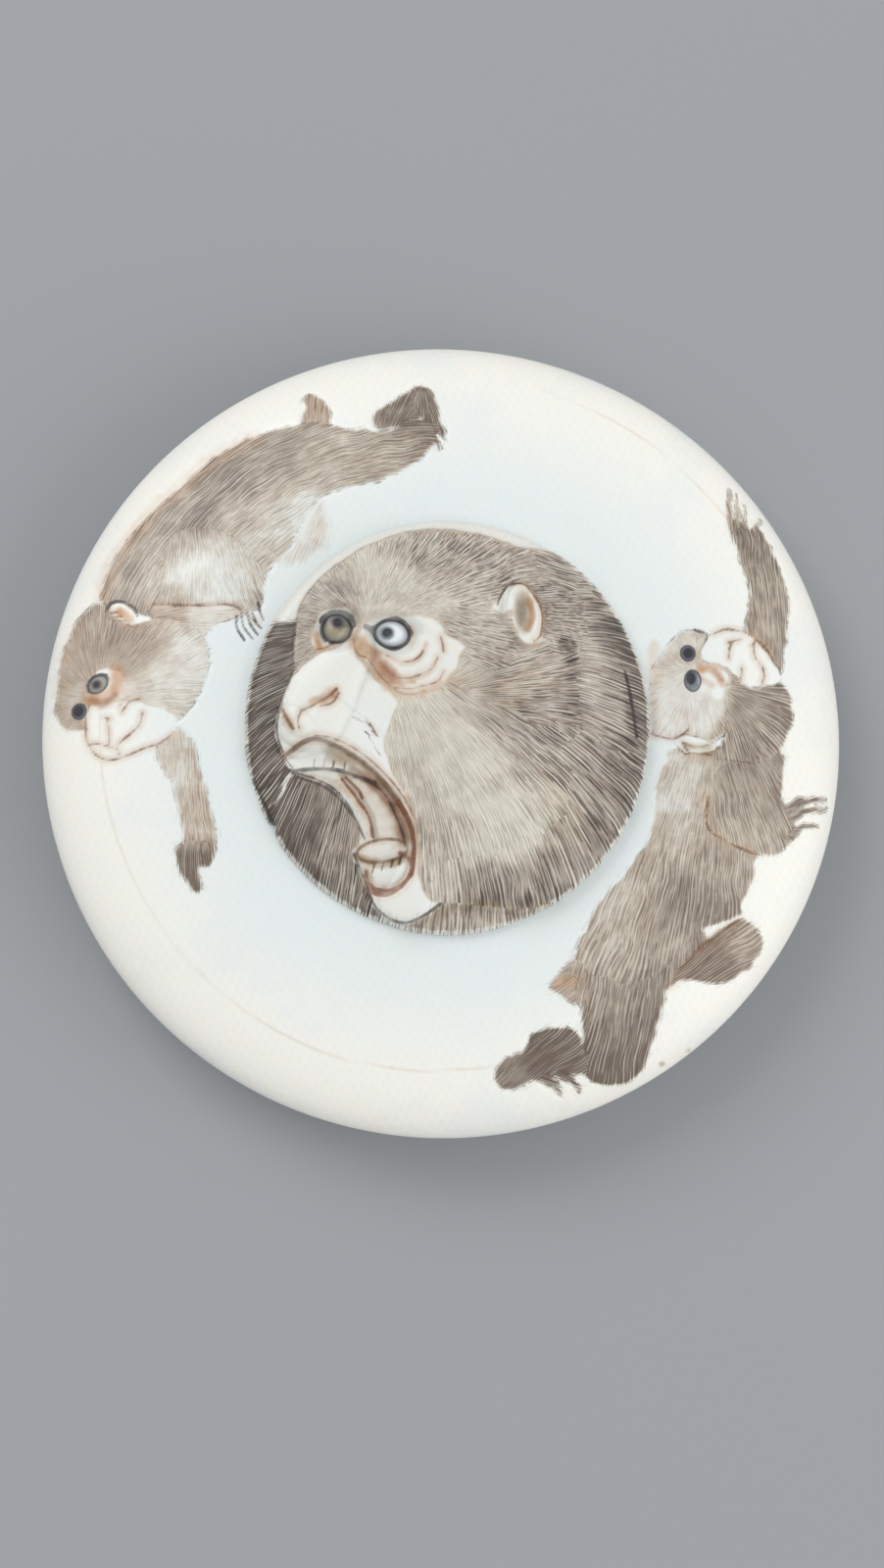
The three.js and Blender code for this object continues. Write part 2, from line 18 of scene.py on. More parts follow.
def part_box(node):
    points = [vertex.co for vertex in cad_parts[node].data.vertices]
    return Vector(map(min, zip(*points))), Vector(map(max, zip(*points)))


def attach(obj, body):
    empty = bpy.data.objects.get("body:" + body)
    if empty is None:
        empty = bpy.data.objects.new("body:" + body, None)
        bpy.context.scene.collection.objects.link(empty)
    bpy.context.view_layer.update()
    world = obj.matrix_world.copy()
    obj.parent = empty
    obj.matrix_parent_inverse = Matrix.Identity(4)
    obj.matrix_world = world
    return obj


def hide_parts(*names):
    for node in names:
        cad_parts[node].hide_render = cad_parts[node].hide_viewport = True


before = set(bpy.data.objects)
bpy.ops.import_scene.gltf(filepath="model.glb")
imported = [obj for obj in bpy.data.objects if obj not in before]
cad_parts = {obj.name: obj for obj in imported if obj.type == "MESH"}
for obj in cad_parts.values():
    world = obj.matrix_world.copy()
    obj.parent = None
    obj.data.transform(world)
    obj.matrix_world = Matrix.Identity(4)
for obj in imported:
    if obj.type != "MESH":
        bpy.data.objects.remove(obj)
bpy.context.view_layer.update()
LOG = logging.getLogger("plaque")

NODE = "carved_disc"
BODY = "root"

Array = np.ndarray
Points = tuple[tuple[float, ...], ...]

METRES = 0.001


class Coat(Enum):
    """What covers a patch of a figure."""

    FUR = "fur"
    SKIN = "skin"


class Flow(Enum):
    """How the strokes of a patch of fur run."""

    RAYS = "rays"
    RINGS = "rings"


class Ink(Enum):
    """The stain in an engraved line."""

    DARK = 0
    BROWN = 1
    RED = 2


class Stain(Enum):
    """The colour of a soft stain."""

    TAN = 0
    RED = 1
    KHAKI = 2


# Sizes of the disc, from the frame

LOW, HIGH = (Vector(corner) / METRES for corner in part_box(NODE))
RADIUS = (HIGH.x - LOW.x) / 2
EDGE_HEIGHT = 4.5
FACE_RISE = 4.7
FACE_ROUNDNESS = 3.6
SEAT_RADIUS = 15.0
BACK_ROUNDNESS = 2.3
HEAD_HALF_WIDTH = 11.85
HEAD_HALF_HEIGHT = 12.25
HEAD_CENTRE_Y = -0.1
HEAD_UNIT = HEAD_HALF_WIDTH / 100
FIELD_UNIT = RADIUS / 100

LATTICE_SIZE = 128
TINY = 1e-12
COMB_CORE = 0.3

# How a patch meets what lies under it: reaches in millimetres, and shares of darkness
EDGE_SHADE = 0.28
EDGE_SHADE_REACH = 0.7
FEATHER_OUT = 0.04
FEATHER_SHARE = 0.25
HATCH_FADE = (-0.3, 0.5)
ROUND_SHADE = 0.14
ROUND_SHADE_REACH = 0.9
LINE_CLEARANCE = 0.12
EDGE_LINE = 0.03
NO_LINE = 1.0
FAR_FROM_EYE = 3.0

# How spots of tone, smears and engraved lines fade out
BLANK_WEIGHT = 1e-6
BLANK_DARK = 0.4e-6
SPOT_FALL = 1.2
SPOT_TAIL = 0.002
SMEAR_EVEN = 0.75
SMEAR_RAGGED = 0.5
SMEAR_CELL = 0.35
SMEAR_SEED = 11
SMEAR_FADE = (0.2, 1.1)
HALO = 0.42
HALO_REACH = 0.4
GROOVE_SHARE = 2.2
STROKE_SHARE = 0.34
OCTAVE_FADE = (0.3, 0.7)


def smooth(value: Array, low: float, high: float) -> Array:
    """Ease from 0 at low to 1 at high.

    Args:
        value: The values to ease.
        low: Where the result starts to rise.
        high: Where it reaches 1.

    Returns:
        The eased values.
    """
    share = np.clip((value - low) / (high - low), 0.0, 1.0)
    return share * share * (3.0 - 2.0 * share)


def dome(share: Array) -> Array:
    """Give a round swelling, 1 where the share is 0 and 0 where it is 1."""
    return np.sqrt(np.clip(1.0 - share * share, 0.0, 1.0))


def groove(gap: Array, depth: float, half_width: float) -> Array:
    """Cut a V of the given depth, at a gap from its middle line."""
    return -depth * np.clip(1.0 - gap / half_width, 0.0, 1.0)


def noise(x: Array, y: Array, cell: float, seed: int) -> Array:
    """Give smooth noise between 0 and 1 from a seeded lattice.

    Args:
        x: Places along X.
        y: Places along Y.
        cell: Size of one cell of the lattice.
        seed: Seed of the lattice.

    Returns:
        The noise at the places.
    """
    size = LATTICE_SIZE
    lattice = np.random.default_rng(seed).random((size, size))
    u = x / cell + size / 2
    v = y / cell + size / 2
    i = np.floor(u).astype(int)
    j = np.floor(v).astype(int)
    fu = smooth(u - i, 0.0, 1.0)
    fv = smooth(v - j, 0.0, 1.0)
    i, j, i1, j1 = i % size, j % size, (i + 1) % size, (j + 1) % size
    low = lattice[i, j] * (1 - fu) + lattice[i1, j] * fu
    high = lattice[i, j1] * (1 - fu) + lattice[i1, j1] * fu
    return low * (1 - fv) + high * fv


@dataclass(frozen=True)
class Sway:
    """How seeded noise shifts places: its reach and cell in millimetres, and its seed."""

    reach: float
    cell: float
    seed: int

    def shift(self, x: Array, y: Array, step: int = 0) -> Array:
        """Give a shift of up to half the reach either way, from the seed plus a step."""
        return self.reach * (noise(x, y, self.cell, self.seed + step) - 0.5)

    def move(self, x: Array, y: Array) -> tuple[Array, Array]:
        """Shift places along X with the seed and along Y with the next one."""
        return x + self.shift(x, y), y + self.shift(x, y, 1)


ROUNDEL_OUTLINE_SWAY = Sway(0.12, 1.0, 5)
HEAD_SWAY = Sway(0.16, 0.45, 21)
ROUNDEL_EDGE_SWAY = Sway(0.01, 0.3, 23)
HEAD_TUFT_SWAY = Sway(1.3, 0.8, 31)
FIELD_SWAY = Sway(0.2, 0.5, 41)
FIELD_TUFT_SWAY = Sway(0.5, 0.6, 51)
STROKE_SWAY = Sway(0.7, 1.3, 61)


def spline(points: Points, closed: bool = False, steps: int = 6) -> Array:
    """Run a smooth line through a few points.

    Args:
        points: The points, of two or more values each.
        closed: Whether the line returns to its start.
        steps: How many short runs make up the way between two points.

    Returns:
        The points of the line, one row each.
    """
    knots = np.array(points, dtype=float)
    if closed:
        knots = np.vstack([knots[-1], knots, knots[:2]])
    else:
        knots = np.vstack([2 * knots[0] - knots[1], knots, 2 * knots[-1] - knots[-2]])
    share = np.linspace(0.0, 1.0, steps, endpoint=False)[:, None]
    runs = []
    for a, b, c, d in zip(knots[:-3], knots[1:-2], knots[2:-1], knots[3:]):
        runs.append(0.5 * (2 * b + (c - a) * share + (2 * a - 5 * b + 4 * c - d) * share**2
                           + (3 * b - a - 3 * c + d) * share**3))
    last = knots[1] if closed else knots[-2]
    return np.vstack([*runs, last])


def near_line(x: Array, y: Array, line: Array) -> tuple[Array, Array]:
    """Measure the gap from places to a line, and the side that they lie on.

    Args:
        x: Places along X.
        y: Places along Y.
        line: The line's points.

    Returns:
        The gap, and +1 to the left of the line or -1 to its right.
    """
    gap = np.full(x.shape, np.inf)
    side = np.ones(x.shape)
    for (ax, ay), (bx, by) in zip(line[:-1, :2], line[1:, :2]):
        dx, dy = bx - ax, by - ay
        share = np.clip(((x - ax) * dx + (y - ay) * dy) / max(dx * dx + dy * dy, TINY), 0.0, 1.0)
        here = np.hypot(x - ax - dx * share, y - ay - dy * share)
        closer = here < gap
        gap = np.where(closer, here, gap)
        side = np.where(closer, np.where(dx * (y - ay) - dy * (x - ax) >= 0, 1.0, -1.0), side)
    return gap, side


def near_outline(x: Array, y: Array, outline: Array) -> Array:
    """Measure the gap to a closed outline, below zero inside it.

    Args:
        x: Places along X.
        y: Places along Y.
        outline: The outline's points, the last one equal to the first.

    Returns:
        The signed gap.
    """
    gap, _ = near_line(x, y, outline)
    inside = np.zeros(x.shape, dtype=bool)
    for (ax, ay), (bx, by) in zip(outline[:-1], outline[1:]):
        if ay == by:
            continue
        crosses = (ay > y) != (by > y)
        inside ^= crosses & (x < (bx - ax) * (y - ay) / (by - ay) + ax)
    return np.where(inside, -gap, gap)


def near_chain(x: Array, y: Array, chain: Array) -> tuple[Array, Array]:
    """Measure the gap to a chain of round limbs, below zero inside it.

    Args:
        x: Places along X.
        y: Places along Y.
        chain: Rows of x, y and radius.

    Returns:
        The signed gap, and the limb's radius at the nearest place on it.
    """
    gap = np.full(x.shape, np.inf)
    radius = np.zeros(x.shape)
    for (ax, ay, ar), (bx, by, br) in zip(chain[:-1], chain[1:]):
        dx, dy = bx - ax, by - ay
        share = np.clip(((x - ax) * dx + (y - ay) * dy) / (dx * dx + dy * dy), 0.0, 1.0)
        here_radius = ar + (br - ar) * share
        here = np.hypot(x - ax - dx * share, y - ay - dy * share) - here_radius
        closer = here < gap
        gap = np.where(closer, here, gap)
        radius = np.where(closer, here_radius, radius)
    return gap, radius


@dataclass(frozen=True)
class Oval:
    """A turned ellipse, in hundredths."""

    x: float
    y: float
    half_width: float
    half_height: float
    turn: float = 0.0

    def share(self, x: Array, y: Array, unit: float) -> Array:
        """Give 0 in the middle of the ellipse and 1 on its edge.

        Args:
            x: Places along X.
            y: Places along Y.
            unit: Length of one hundredth.

        Returns:
            The share of the ellipse's size.
        """
        angle = math.radians(self.turn)
        dx = x / unit - self.x
        dy = y / unit - self.y
        along = dx * math.cos(angle) + dy * math.sin(angle)
        across = dy * math.cos(angle) - dx * math.sin(angle)
        return np.hypot(along / self.half_width, across / self.half_height)

    def gap(self, x: Array, y: Array, unit: float) -> Array:
        """Give the rough gap to the ellipse's edge, below zero inside it."""
        return (self.share(x, y, unit) - 1.0) * unit * min(self.half_width, self.half_height)


@dataclass(frozen=True)
class Patch:
    """A patch of a figure: its outline or limb chain, its cover and how its fur is combed.

    The fur runs away from the comb point, or round it. The pitch is the gap between two strokes
    at the reach, and a reach of 0 takes the patch's own middle. Pitch, length and feather are in
    millimetres and the rest is in hundredths.
    """

    name: str
    shape: Points
    comb: tuple[float, float] = (0.0, 0.0)
    coat: Coat = Coat.FUR
    flow: Flow = Flow.RAYS
    dark: float = 0.45
    tan: float = 0.0
    pitch: float = 0.32
    length: float = 1.7
    reach: float = 0.0
    edge: float = 0.5
    feather: float = 0.25
    bend: float = 0.0
    straight: float = 55.0

    def gap(self, x: Array, y: Array, unit: float) -> Array:
        """Measure the gap to the patch, below zero inside it.

        Args:
            x: Places along X.
            y: Places along Y.
            unit: Length of one hundredth.

        Returns:
            The signed gap.
        """
        if len(self.shape[0]) == 3:
            return near_chain(x, y, np.array(self.shape) * unit)[0]
        return near_outline(x, y, spline(self.shape, closed=True) * unit)

    def combed(self, x: Array, y: Array, unit: float) -> Array:
        """Say how the fur is combed at some places.

        Args:
            x: Places along X.
            y: Places along Y.
            unit: Length of one hundredth.

        Returns:
            For each place the way along the strokes in lengths, the way across them in pitches,
            and how many times the pitch has doubled.
        """
        centre = np.mean([point[:2] for point in self.shape], axis=0) - self.comb
        middle = self.reach * unit or math.hypot(*centre) * unit
        dx = x - self.comb[0] * unit
        dy = y - self.comb[1] * unit
        away = np.maximum(np.hypot(dx, dy), COMB_CORE)
        turn = np.mod(np.arctan2(dy, dx) - math.atan2(centre[1], centre[0]) + math.pi, 2 * math.pi)
        sway = STROKE_SWAY.shift(x, y)
        if self.flow is Flow.RINGS:
            return np.stack([turn * middle / self.length, away / self.pitch + sway, np.zeros_like(x)], axis=1)
        late = np.clip(away / unit - self.straight, 0.0, None)
        turn = turn + self.bend * late * late
        level = 0.5 * np.log2(away / middle)
        return np.stack([away / self.length, turn * middle / self.pitch + sway, level], axis=1)


@dataclass(frozen=True)
class Smear:
    """A soft stain, or a band of painted shade, along a line, with its reach in millimetres."""

    line: Points
    reach: float
    strength: float
    stain: Stain = Stain.TAN


@dataclass(frozen=True)
class Stroke:
    """One engraved line: its points, half width in millimetres and stain."""

    line: Points
    half_width: float = 0.07
    ink: Ink = Ink.DARK
    depth: float = 0.04


@dataclass(frozen=True)
class Eye:
    """An eye: the ellipse of its rim, its pupil, and how far its ball swells."""

    rim: Oval
    pupil: Oval
    swell: float = 0.0
    blue: float = 1.0


def arc(oval: Oval, start: float, end: float, steps: int = 10) -> Points:
    """Take a stretch of an ellipse as points.

    Args:
        oval: The ellipse.
        start: First angle in degrees.
        end: Last angle in degrees.
        steps: How many points to take.

    Returns:
        The points, in hundredths.
    """
    turn = math.radians(oval.turn)
    points = []
    for step in range(steps):
        angle = math.radians(start + (end - start) * step / (steps - 1))
        dx, dy = oval.half_width * math.cos(angle), oval.half_height * math.sin(angle)
        points.append((oval.x + dx * math.cos(turn) - dy * math.sin(turn),
                       oval.y + dx * math.sin(turn) + dy * math.cos(turn)))
    return tuple(points)


# The head on the roundel, in hundredths of its half width

HEAD_EDGE: Points = (
    (64, -84), (37, -92), (8, -90), (-4, -90), (-14, -97), (-24, -99), (-35, -92), (-41, -78),
    (-46, -66), (-42, -56), (-50, -40), (-60, -31), (-74, -26), (-80, -18), (-84, -5), (-81, 8),
    (-76, 22), (-75, 42), (-72, 58), (-60, 73), (-40, 87), (-22, 94), (-2, 96), (18, 93),
    (36, 87), (56, 86),
)
LIP_LINE: Points = ((-80, -18), (-68, -11), (-56, -13), (-44, -20), (-33, -30), (-25, -40),
                    (-19, -51), (-17, -63), (-18, -75), (-23, -82))
LOWER_LIP_LINE: Points = ((-23, -82), (-30, -86), (-37, -84), (-40, -78))
TEETH_LINE: Points = ((-76, -25), (-64, -24), (-53, -25), (-44, -28), (-36, -31))
MOUTH_LINE: Points = ((-73, -28), (-60, -33), (-51, -41), (-44, -51), (-41, -58))
TONGUE_LINE: Points = ((-52, -29), (-45, -38), (-39, -47), (-37, -57))
UPPER_LOBE = Oval(-32, -64, 12.5, 5.5, 8)
LOWER_LOBE = Oval(-29, -74, 11.5, 9.0, 25)
EAR = Oval(37.3, 52.5, 8.4, 15.3, 8)
EAR_HOLLOW = Oval(36.8, 53.5, 5.7, 11.2, 8)
EAR_EDGE: Points = ((30.6, 67.4), (36.6, 67.9), (40.9, 63.6), (44.6, 57.4), (45.9, 51.2), (45, 42.5),
                    (41.5, 38.5), (37.4, 39.5), (33.6, 43), (31, 49), (30.2, 56), (29.8, 62))
EAR_TUFT: Points = ((31, 68.3), (27.2, 65.2), (24.9, 61), (21.6, 54.8), (28.5, 53.2), (32, 57))

HEAD_EYES = (
    Eye(Oval(-54.8, 45.2, 7.2, 7.6, 10), Oval(-54.2, 48.6, 2.6, 2.4), 0.4, 0.0),
    Eye(Oval(-27.8, 43.0, 8.7, 6.9, -8), Oval(-30.1, 43.3, 2.5, 2.4), 0.4, 1.0),
)


@dataclass(frozen=True)
class Form:
    """A rounded form of the head: a chain of x, y and radius, and how far it swells."""

    name: str
    chain: Points
    swell: float
    soft: bool = False


HEAD_FORMS = (
    Form("snout", ((-47, 36, 11), (-64, 12, 19), (-68, 2, 18)), 0.75),
    Form("upper lip", ((-74, -10, 9), (-58, -2, 12), (-42, -12, 11), (-25, -34, 8)), 0.4),
    Form("jaw", ((-17, -40, 7), (-10, -62, 8), (-18, -86, 12), (-26, -91, 9)), 0.35),
    Form("brow", ((-68, 52, 8), (-54, 60, 9), (-41, 54, 7), (-27, 56, 9), (-12, 50, 8)), 0.4, True),
    Form("cheek", ((0, -2, 30), (12, -34, 36)), 0.35, True),
    Form("eye bag", ((-38, 30, 8), (-26, 25, 12), (-12, 32, 10)), 0.3, True),
    Form("nostril wing", ((-77, 1, 6), (-72, -4, 6)), 0.2),
    Form("ear tuft", ((24, 60, 5), (22, 52, 5)), 0.25, True),
)

HEAD_STROKES = (
    Stroke(HEAD_EDGE[:5], -0.02, Ink.DARK, 0.12),
    Stroke(HEAD_EDGE[3:9], 0.06, Ink.DARK, 0.08),
    Stroke(HEAD_EDGE[9:13], 0.06, Ink.DARK, 0.08),
    Stroke(HEAD_EDGE[12:16], 0.04, Ink.DARK, 0.03),
    Stroke(LIP_LINE, 0.11, Ink.BROWN, 0.05),
    Stroke(tuple((x + 2.5, y + 2) for x, y in LIP_LINE[1:7]), 0.03, Ink.BROWN, 0.02),
    Stroke(LOWER_LIP_LINE, 0.12, Ink.RED, 0.05),
    Stroke(LIP_LINE[5:], 0.1, Ink.RED, 0.05),
    Stroke(TEETH_LINE, 0.1, Ink.DARK, 0.1),
    Stroke(((-44, -28), (-36, -32), (-30, -38), (-26, -46), (-22, -56), (-21, -62)), 0.06, Ink.DARK, 0.05),
    Stroke(MOUTH_LINE, 0.08, Ink.DARK, 0.05),
    Stroke(TONGUE_LINE, 0.09, Ink.RED, 0.05),
    Stroke(((-50, -28), (-44, -34), (-42, -38)), 0.06, Ink.BROWN, 0.02),
    Stroke(arc(UPPER_LOBE, 0, 360, 18), 0.08, Ink.BROWN, 0.05),
    Stroke(arc(LOWER_LOBE, 150, 400, 14), 0.11, Ink.RED, 0.05),
    *(Stroke(((x, y), (x + 0.6, y + 4.5)), 0.035, Ink.DARK, 0.02)
      for x, y in ((-66, -24), (-61, -23.5), (-56.5, -24.5), (-51, -25.5))),
    *(Stroke(((x, y), (x - 1, y - 3.6)), 0.045, Ink.DARK, 0.02)
      for x, y in ((-36, -71), (-31.5, -70), (-27, -68.5), (-23, -67))),
    Stroke(((-72, 3), (-64, 7), (-58, 11), (-55, 14)), 0.08, Ink.BROWN, 0.1),
    Stroke(((-63, 5), (-57, 7), (-54, 12)), 0.05, Ink.BROWN, 0.05),
    Stroke(((-72, 3), (-73.5, -2), (-73, -6)), 0.04, Ink.BROWN, 0.04),
    Stroke(((-81, 4), (-79, -1), (-76, -6)), 0.09, Ink.BROWN, 0.1),
    *(Stroke(line, 0.02, Ink.DARK, 0.02) for line in (
        ((-47, 0.6), (-43, 0.2)), ((-45, -0.4), (-41.5, -1.6)), ((-40.4, -1), (-38.4, -3.6)),
        ((-38.6, -2), (-36, -6.6)), ((-37.4, -6), (-34.4, -9)), ((-41, -6.4), (-38.6, -8.6)),
        ((-39, -9.4), (-36, -13.4)), ((-36.4, -14), (-33.6, -18)))),
    Stroke(((-40.6, 46.4), (-37.3, 45.9), (-34.9, 46.9), (-31.4, 48.9), (-26.4, 50.2), (-23, 48.9),
            (-20, 45.9), (-18.7, 43)), 0.17, Ink.DARK, 0.05),
    Stroke(((-18.7, 43), (-20, 39.5), (-23, 37), (-26.4, 35.8), (-29.9, 36.5), (-32.9, 38.5),
            (-35.4, 41), (-37.3, 44), (-40.6, 46.4)), 0.11, Ink.DARK, 0.05),
    Stroke(((-61.7, 49.4), (-59.2, 51.9), (-55.2, 53.1), (-51.2, 52.6), (-48.3, 50.4), (-47.3, 47.4)),
           0.22, Ink.DARK, 0.05),
    Stroke(((-47.3, 47.4), (-48.8, 44), (-51.2, 41.5), (-54.2, 39.5), (-58.2, 38)), 0.08, Ink.DARK, 0.05),
    Stroke(((-61.7, 49.4), (-62.4, 45.4), (-61.9, 42.5), (-60.4, 39.4)), 0.1, Ink.DARK, 0.05),
    Stroke(((-46.8, 46.9), (-47.3, 44), (-49.3, 42), (-52.7, 39), (-57.2, 37), (-61.2, 34.8), (-65, 34.5)),
           0.035, Ink.RED, 0.05),
    Stroke(((-46.8, 40.5), (-46.3, 35), (-44.3, 31), (-40.3, 29.6), (-37.3, 26.6), (-34.4, 22.6),
            (-31.4, 19.2), (-27.4, 15.7), (-24, 13.4), (-19, 12.5), (-11.5, 14.2)), 0.02, Ink.BROWN, 0.08),
    Stroke(((-30.4, 31.6), (-26.4, 29.6), (-22.5, 28.3), (-18, 28.8), (-14.5, 31.1), (-12.5, 34)),
           0.03, Ink.BROWN, 0.06),
    Stroke(((-25, 20.2), (-19, 20.6), (-14.5, 22.1), (-11.1, 23.6), (-7.6, 26.1), (-5.4, 31)),
           0.03, Ink.BROWN, 0.07),
    Stroke(((-27, 15.8), (-21.5, 15.4), (-17.5, 15.4), (-14, 16.4), (-9.6, 17.4), (-5, 19.5), (-2.5, 24)),
           0.02, Ink.BROWN, 0.07),
    Stroke(((-3.9, 41.4), (-3, 38), (-2.6, 34.4)), 0.04, Ink.BROWN, 0.05),
    Stroke(EAR_EDGE[:7], 0.035, Ink.BROWN, 0.05),
    Stroke(((35.5, 68.4), (30.4, 68.2), (27.2, 64.8), (25.2, 61), (24, 57.4)), 0.06, Ink.DARK, 0.05),
    Stroke(((-95, -29), (-88, -45), (-83, -56)), 0.09, Ink.DARK, 0.2),
    Stroke(((87.4, 25.6), (90.8, 7.9), (92.9, -7)), 0.08, Ink.DARK, 0.12),
)

HEAD_PATCHES = (
    Patch("cheek", ((-60, 60), (-60, -120), (120, -120), (120, 60)), (-35, 40), pitch=0.24, reach=105,
          length=2.8, edge=0, bend=1.2e-5),
    Patch("jaw fringe", ((60, -8), (62, -36), (42, -62), (14, -68), (-6, -78), (-12, -120), (140, -120),
                         (140, -8)), (-35, 40), pitch=0.3, reach=120, length=4.2, edge=0, bend=1.2e-5),
    Patch("crown", ((-110, -10), (-74, 14), (-56, 36), (-20, 52), (10, 46), (40, 50), (58, 62), (70, 110),
                    (-60, 120)), (-41, 46), pitch=0.2, reach=45, length=1.5, edge=0),
    Patch("temple", ((-8, 54), (8, 57), (22, 54), (30, 48), (36, 38), (30, 30), (14, 27), (6, 34), (-4, 44)),
          (-60, 64), pitch=0.2, reach=75, length=1.5, edge=0),
    Patch("under ear", ((4, 30), (20, 27), (32, 31), (40, 37), (50, 39), (66, 40), (66, 2), (46, -2), (24, 5),
                        (6, 14)), (-12, 12), pitch=0.2, reach=55, length=2.4, edge=0),
    Patch("behind ear", ((44, 70), (66, 70), (66, 34), (48, 38), (47, 50)), (-60, 58), pitch=0.2, reach=115,
          length=1.1, edge=0),
    Patch("nape", ((38, 104), (42, 84), (50, 74), (62, 68), (130, 60), (130, 110)), (-60, 108), pitch=0.24,
          reach=125, length=2.4, edge=0),
    Patch("ring", ((58, 70), (65, 62), (66, 30), (65, -4), (78, -11), (130, -22), (130, 64), (80, 66)),
          (-120, 50), pitch=0.26, reach=205, length=3.4, edge=0, bend=2e-5, straight=184),
    Patch("face skin", ((-47, 39), (-45, 31), (-36, 21), (-25, 11), (-27, 0), (-31, -12),
                        (-27, -26), (-20, -40), (-16, -57), (-14, -74), (-10, -87), (-3, -91),
                        (-24, -112), (-60, -100), (-100, -40), (-100, 10), (-81, 18), (-71, 27),
                        (-60, 34)), coat=Coat.SKIN, edge=0, feather=0.3),
    Patch("eye skin", ((-41, 49), (-34, 52.5), (-21, 52.5), (-9, 51.5), (-3, 48), (-0.5, 43), (4, 41),
                       (9, 37), (6, 32), (5, 27), (2, 22), (-2, 17), (-10, 13), (-21, 12), (-29, 16),
                       (-37, 24), (-45, 31), (-47, 39), (-44, 45)), coat=Coat.SKIN, edge=0, feather=0.4),
    Patch("far eye skin", ((-68, 42), (-66, 35), (-60, 34), (-50, 39), (-45, 45), (-45, 51), (-50, 55.5),
                           (-57, 56), (-65, 52)), coat=Coat.SKIN, edge=0, feather=0.3),
    Patch("ear tuft", EAR_TUFT, coat=Coat.SKIN, edge=0),
    Patch("ear", EAR_EDGE, coat=Coat.SKIN, edge=0),
    Patch("ear lobe tuft", ((33.5, 42), (36, 38.4), (40, 37), (44, 37.4), (49.6, 41), (45, 42.6), (38, 43)),
          coat=Coat.SKIN, edge=0, feather=0.3),
)
BACKGROUND_PATCHES = (
    Patch("crescent", ((-120, 40), (-60, 41), (0, 60), (120, 60), (120, 130), (-120, 130)),
          coat=Coat.SKIN, edge=0, feather=0.4),
    Patch("dark band", ((-120, 41), (-50, 42), (-50, -10), (-60, -26), (-77, -27), (-88, -44),
                        (-120, -50)), (-8, 57), pitch=0.19, reach=90, length=2.3, edge=0),
    Patch("chest", ((-120, -48), (-88, -43), (-76, -26), (-60, -20), (-30, -40), (-30, -80),
                    (-37, -130), (-120, -120)), (-30, 60), pitch=0.22, length=3.2, edge=0),
    Patch("neck", ((-34, -80), (120, -75), (120, -130), (-32, -130)), (14, 60), pitch=0.34,
          length=2.6, edge=0),
)

# Spots of tone: x, y, reach and darkness from 0 to 1, in the same hundredths
HEAD_TONES: Points = (
    (-64, 58, 9, 0.4), (-52, 64, 6, 0.52), (-29, 88, 8, 0.33), (-40, 76, 9, 0.1), (-50, 76, 8, 0.3),
    (8, 91, 8, 0.53), (18, 86, 8, 0.48), (-7, 83, 9, 0.5), (4, 73, 10, 0.46), (-10, 62, 9, 0.2),
    (11, 61, 9, 0.24), (-23, 66, 8, 0.2), (-32, 58, 7, 0.24), (-30, 52, 5, 0.1), (17, 49, 8, 0.26),
    (6, 49, 6, 0.4), (31, 83, 9, 0.46), (24, 72, 8, 0.46), (52, 76, 8, 0.52), (56, 64, 7, 0.5),
    (42, 76, 7, 0.4), (59.5, 36, 2.8, 0.76), (61.5, 29, 3, 0.7), (62.5, 22, 3.2, 0.66), (63, 8, 6, 0.65),
    (71, 62, 7, 0.59), (86, 49, 7, 0.76), (90, 38, 6, 1.05), (82, 38, 6, 0.69), (72, 28, 8, 0.35),
    (84, 21, 7, 0.63), (93, 20, 5, 0.82), (95, 8, 6, 0.82), (79, 8, 7, 0.48), (70, 12, 6, 0.33),
    (31, 19, 9, 0.49), (45, 10, 9, 0.53), (24, 5, 8, 0.49), (42, 0, 7, 0.53), (11, 10, 7, 0.32),
    (22, 31, 6, 0.47), (12, 27, 5, 0.2), (-10, 5, 8, 0.1), (-18, -6, 8, 0.12), (4, -13, 10, 0.07),
    (-21, -26, 6, 0.21), (17, -26, 11, 0.07), (30, -8, 6, 0.41), (38, -20, 7, 0.43), (52, -24, 7, 0.57),
    (65, -20, 8, 0.49), (86, -26, 8, 0.69), (-10, -44, 7, 0.31), (-2, -60, 8, 0.29), (11, -58, 8, 0.21),
    (31, -54, 11, 0.1), (45, -40, 9, 0.14), (58, -54, 8, 0.43), (76, -51, 7, 0.69), (86, -58, 5, 1.15),
    (72, -71, 8, 0.69), (45, -76, 9, 0.59), (24, -84, 9, 0.64), (4, -84, 8, 0.42), (-6, -84, 5, 0.27),
    # The four spots on the next row are painted shade along the jaw's lower edge
    (56, -84, 3.5, 0.9), (40, -89, 3.5, 0.95), (24, -89, 3.5, 0.95), (8, -87, 3.5, 0.85),
    (10, -34, 9, 0.09), (40, 33, 6, 0.39), (50, 24, 7, 0.41), (70, -40, 8, 0.48), (60, -68, 8, 0.51),
)
BACKGROUND_TONES: Points = (
    (-88, 32, 7, 1.02), (-75, 27, 5, 0.6), (-93, 8, 9, 1.08), (-86, 12, 6, 0.9), (-93, -13, 9, 1.06),
    (-85, -29, 8, 1.15), (-71, -40, 7, 0.86), (-60, -47, 8, 0.72), (-73, -60, 8, 0.91), (-58, -67, 8, 0.62),
    (-67, -78, 7, 1.03), (-50, -60, 6, 0.54), (-47, -81, 8, 0.62), (-46, -96, 8, 0.72), (-20, -104, 8, 0.53),
    (-5, -100, 8, 0.38), (8, -101, 7, 0.53), (22, -100, 9, 0.38), (40, -97, 9, 0.44),
)
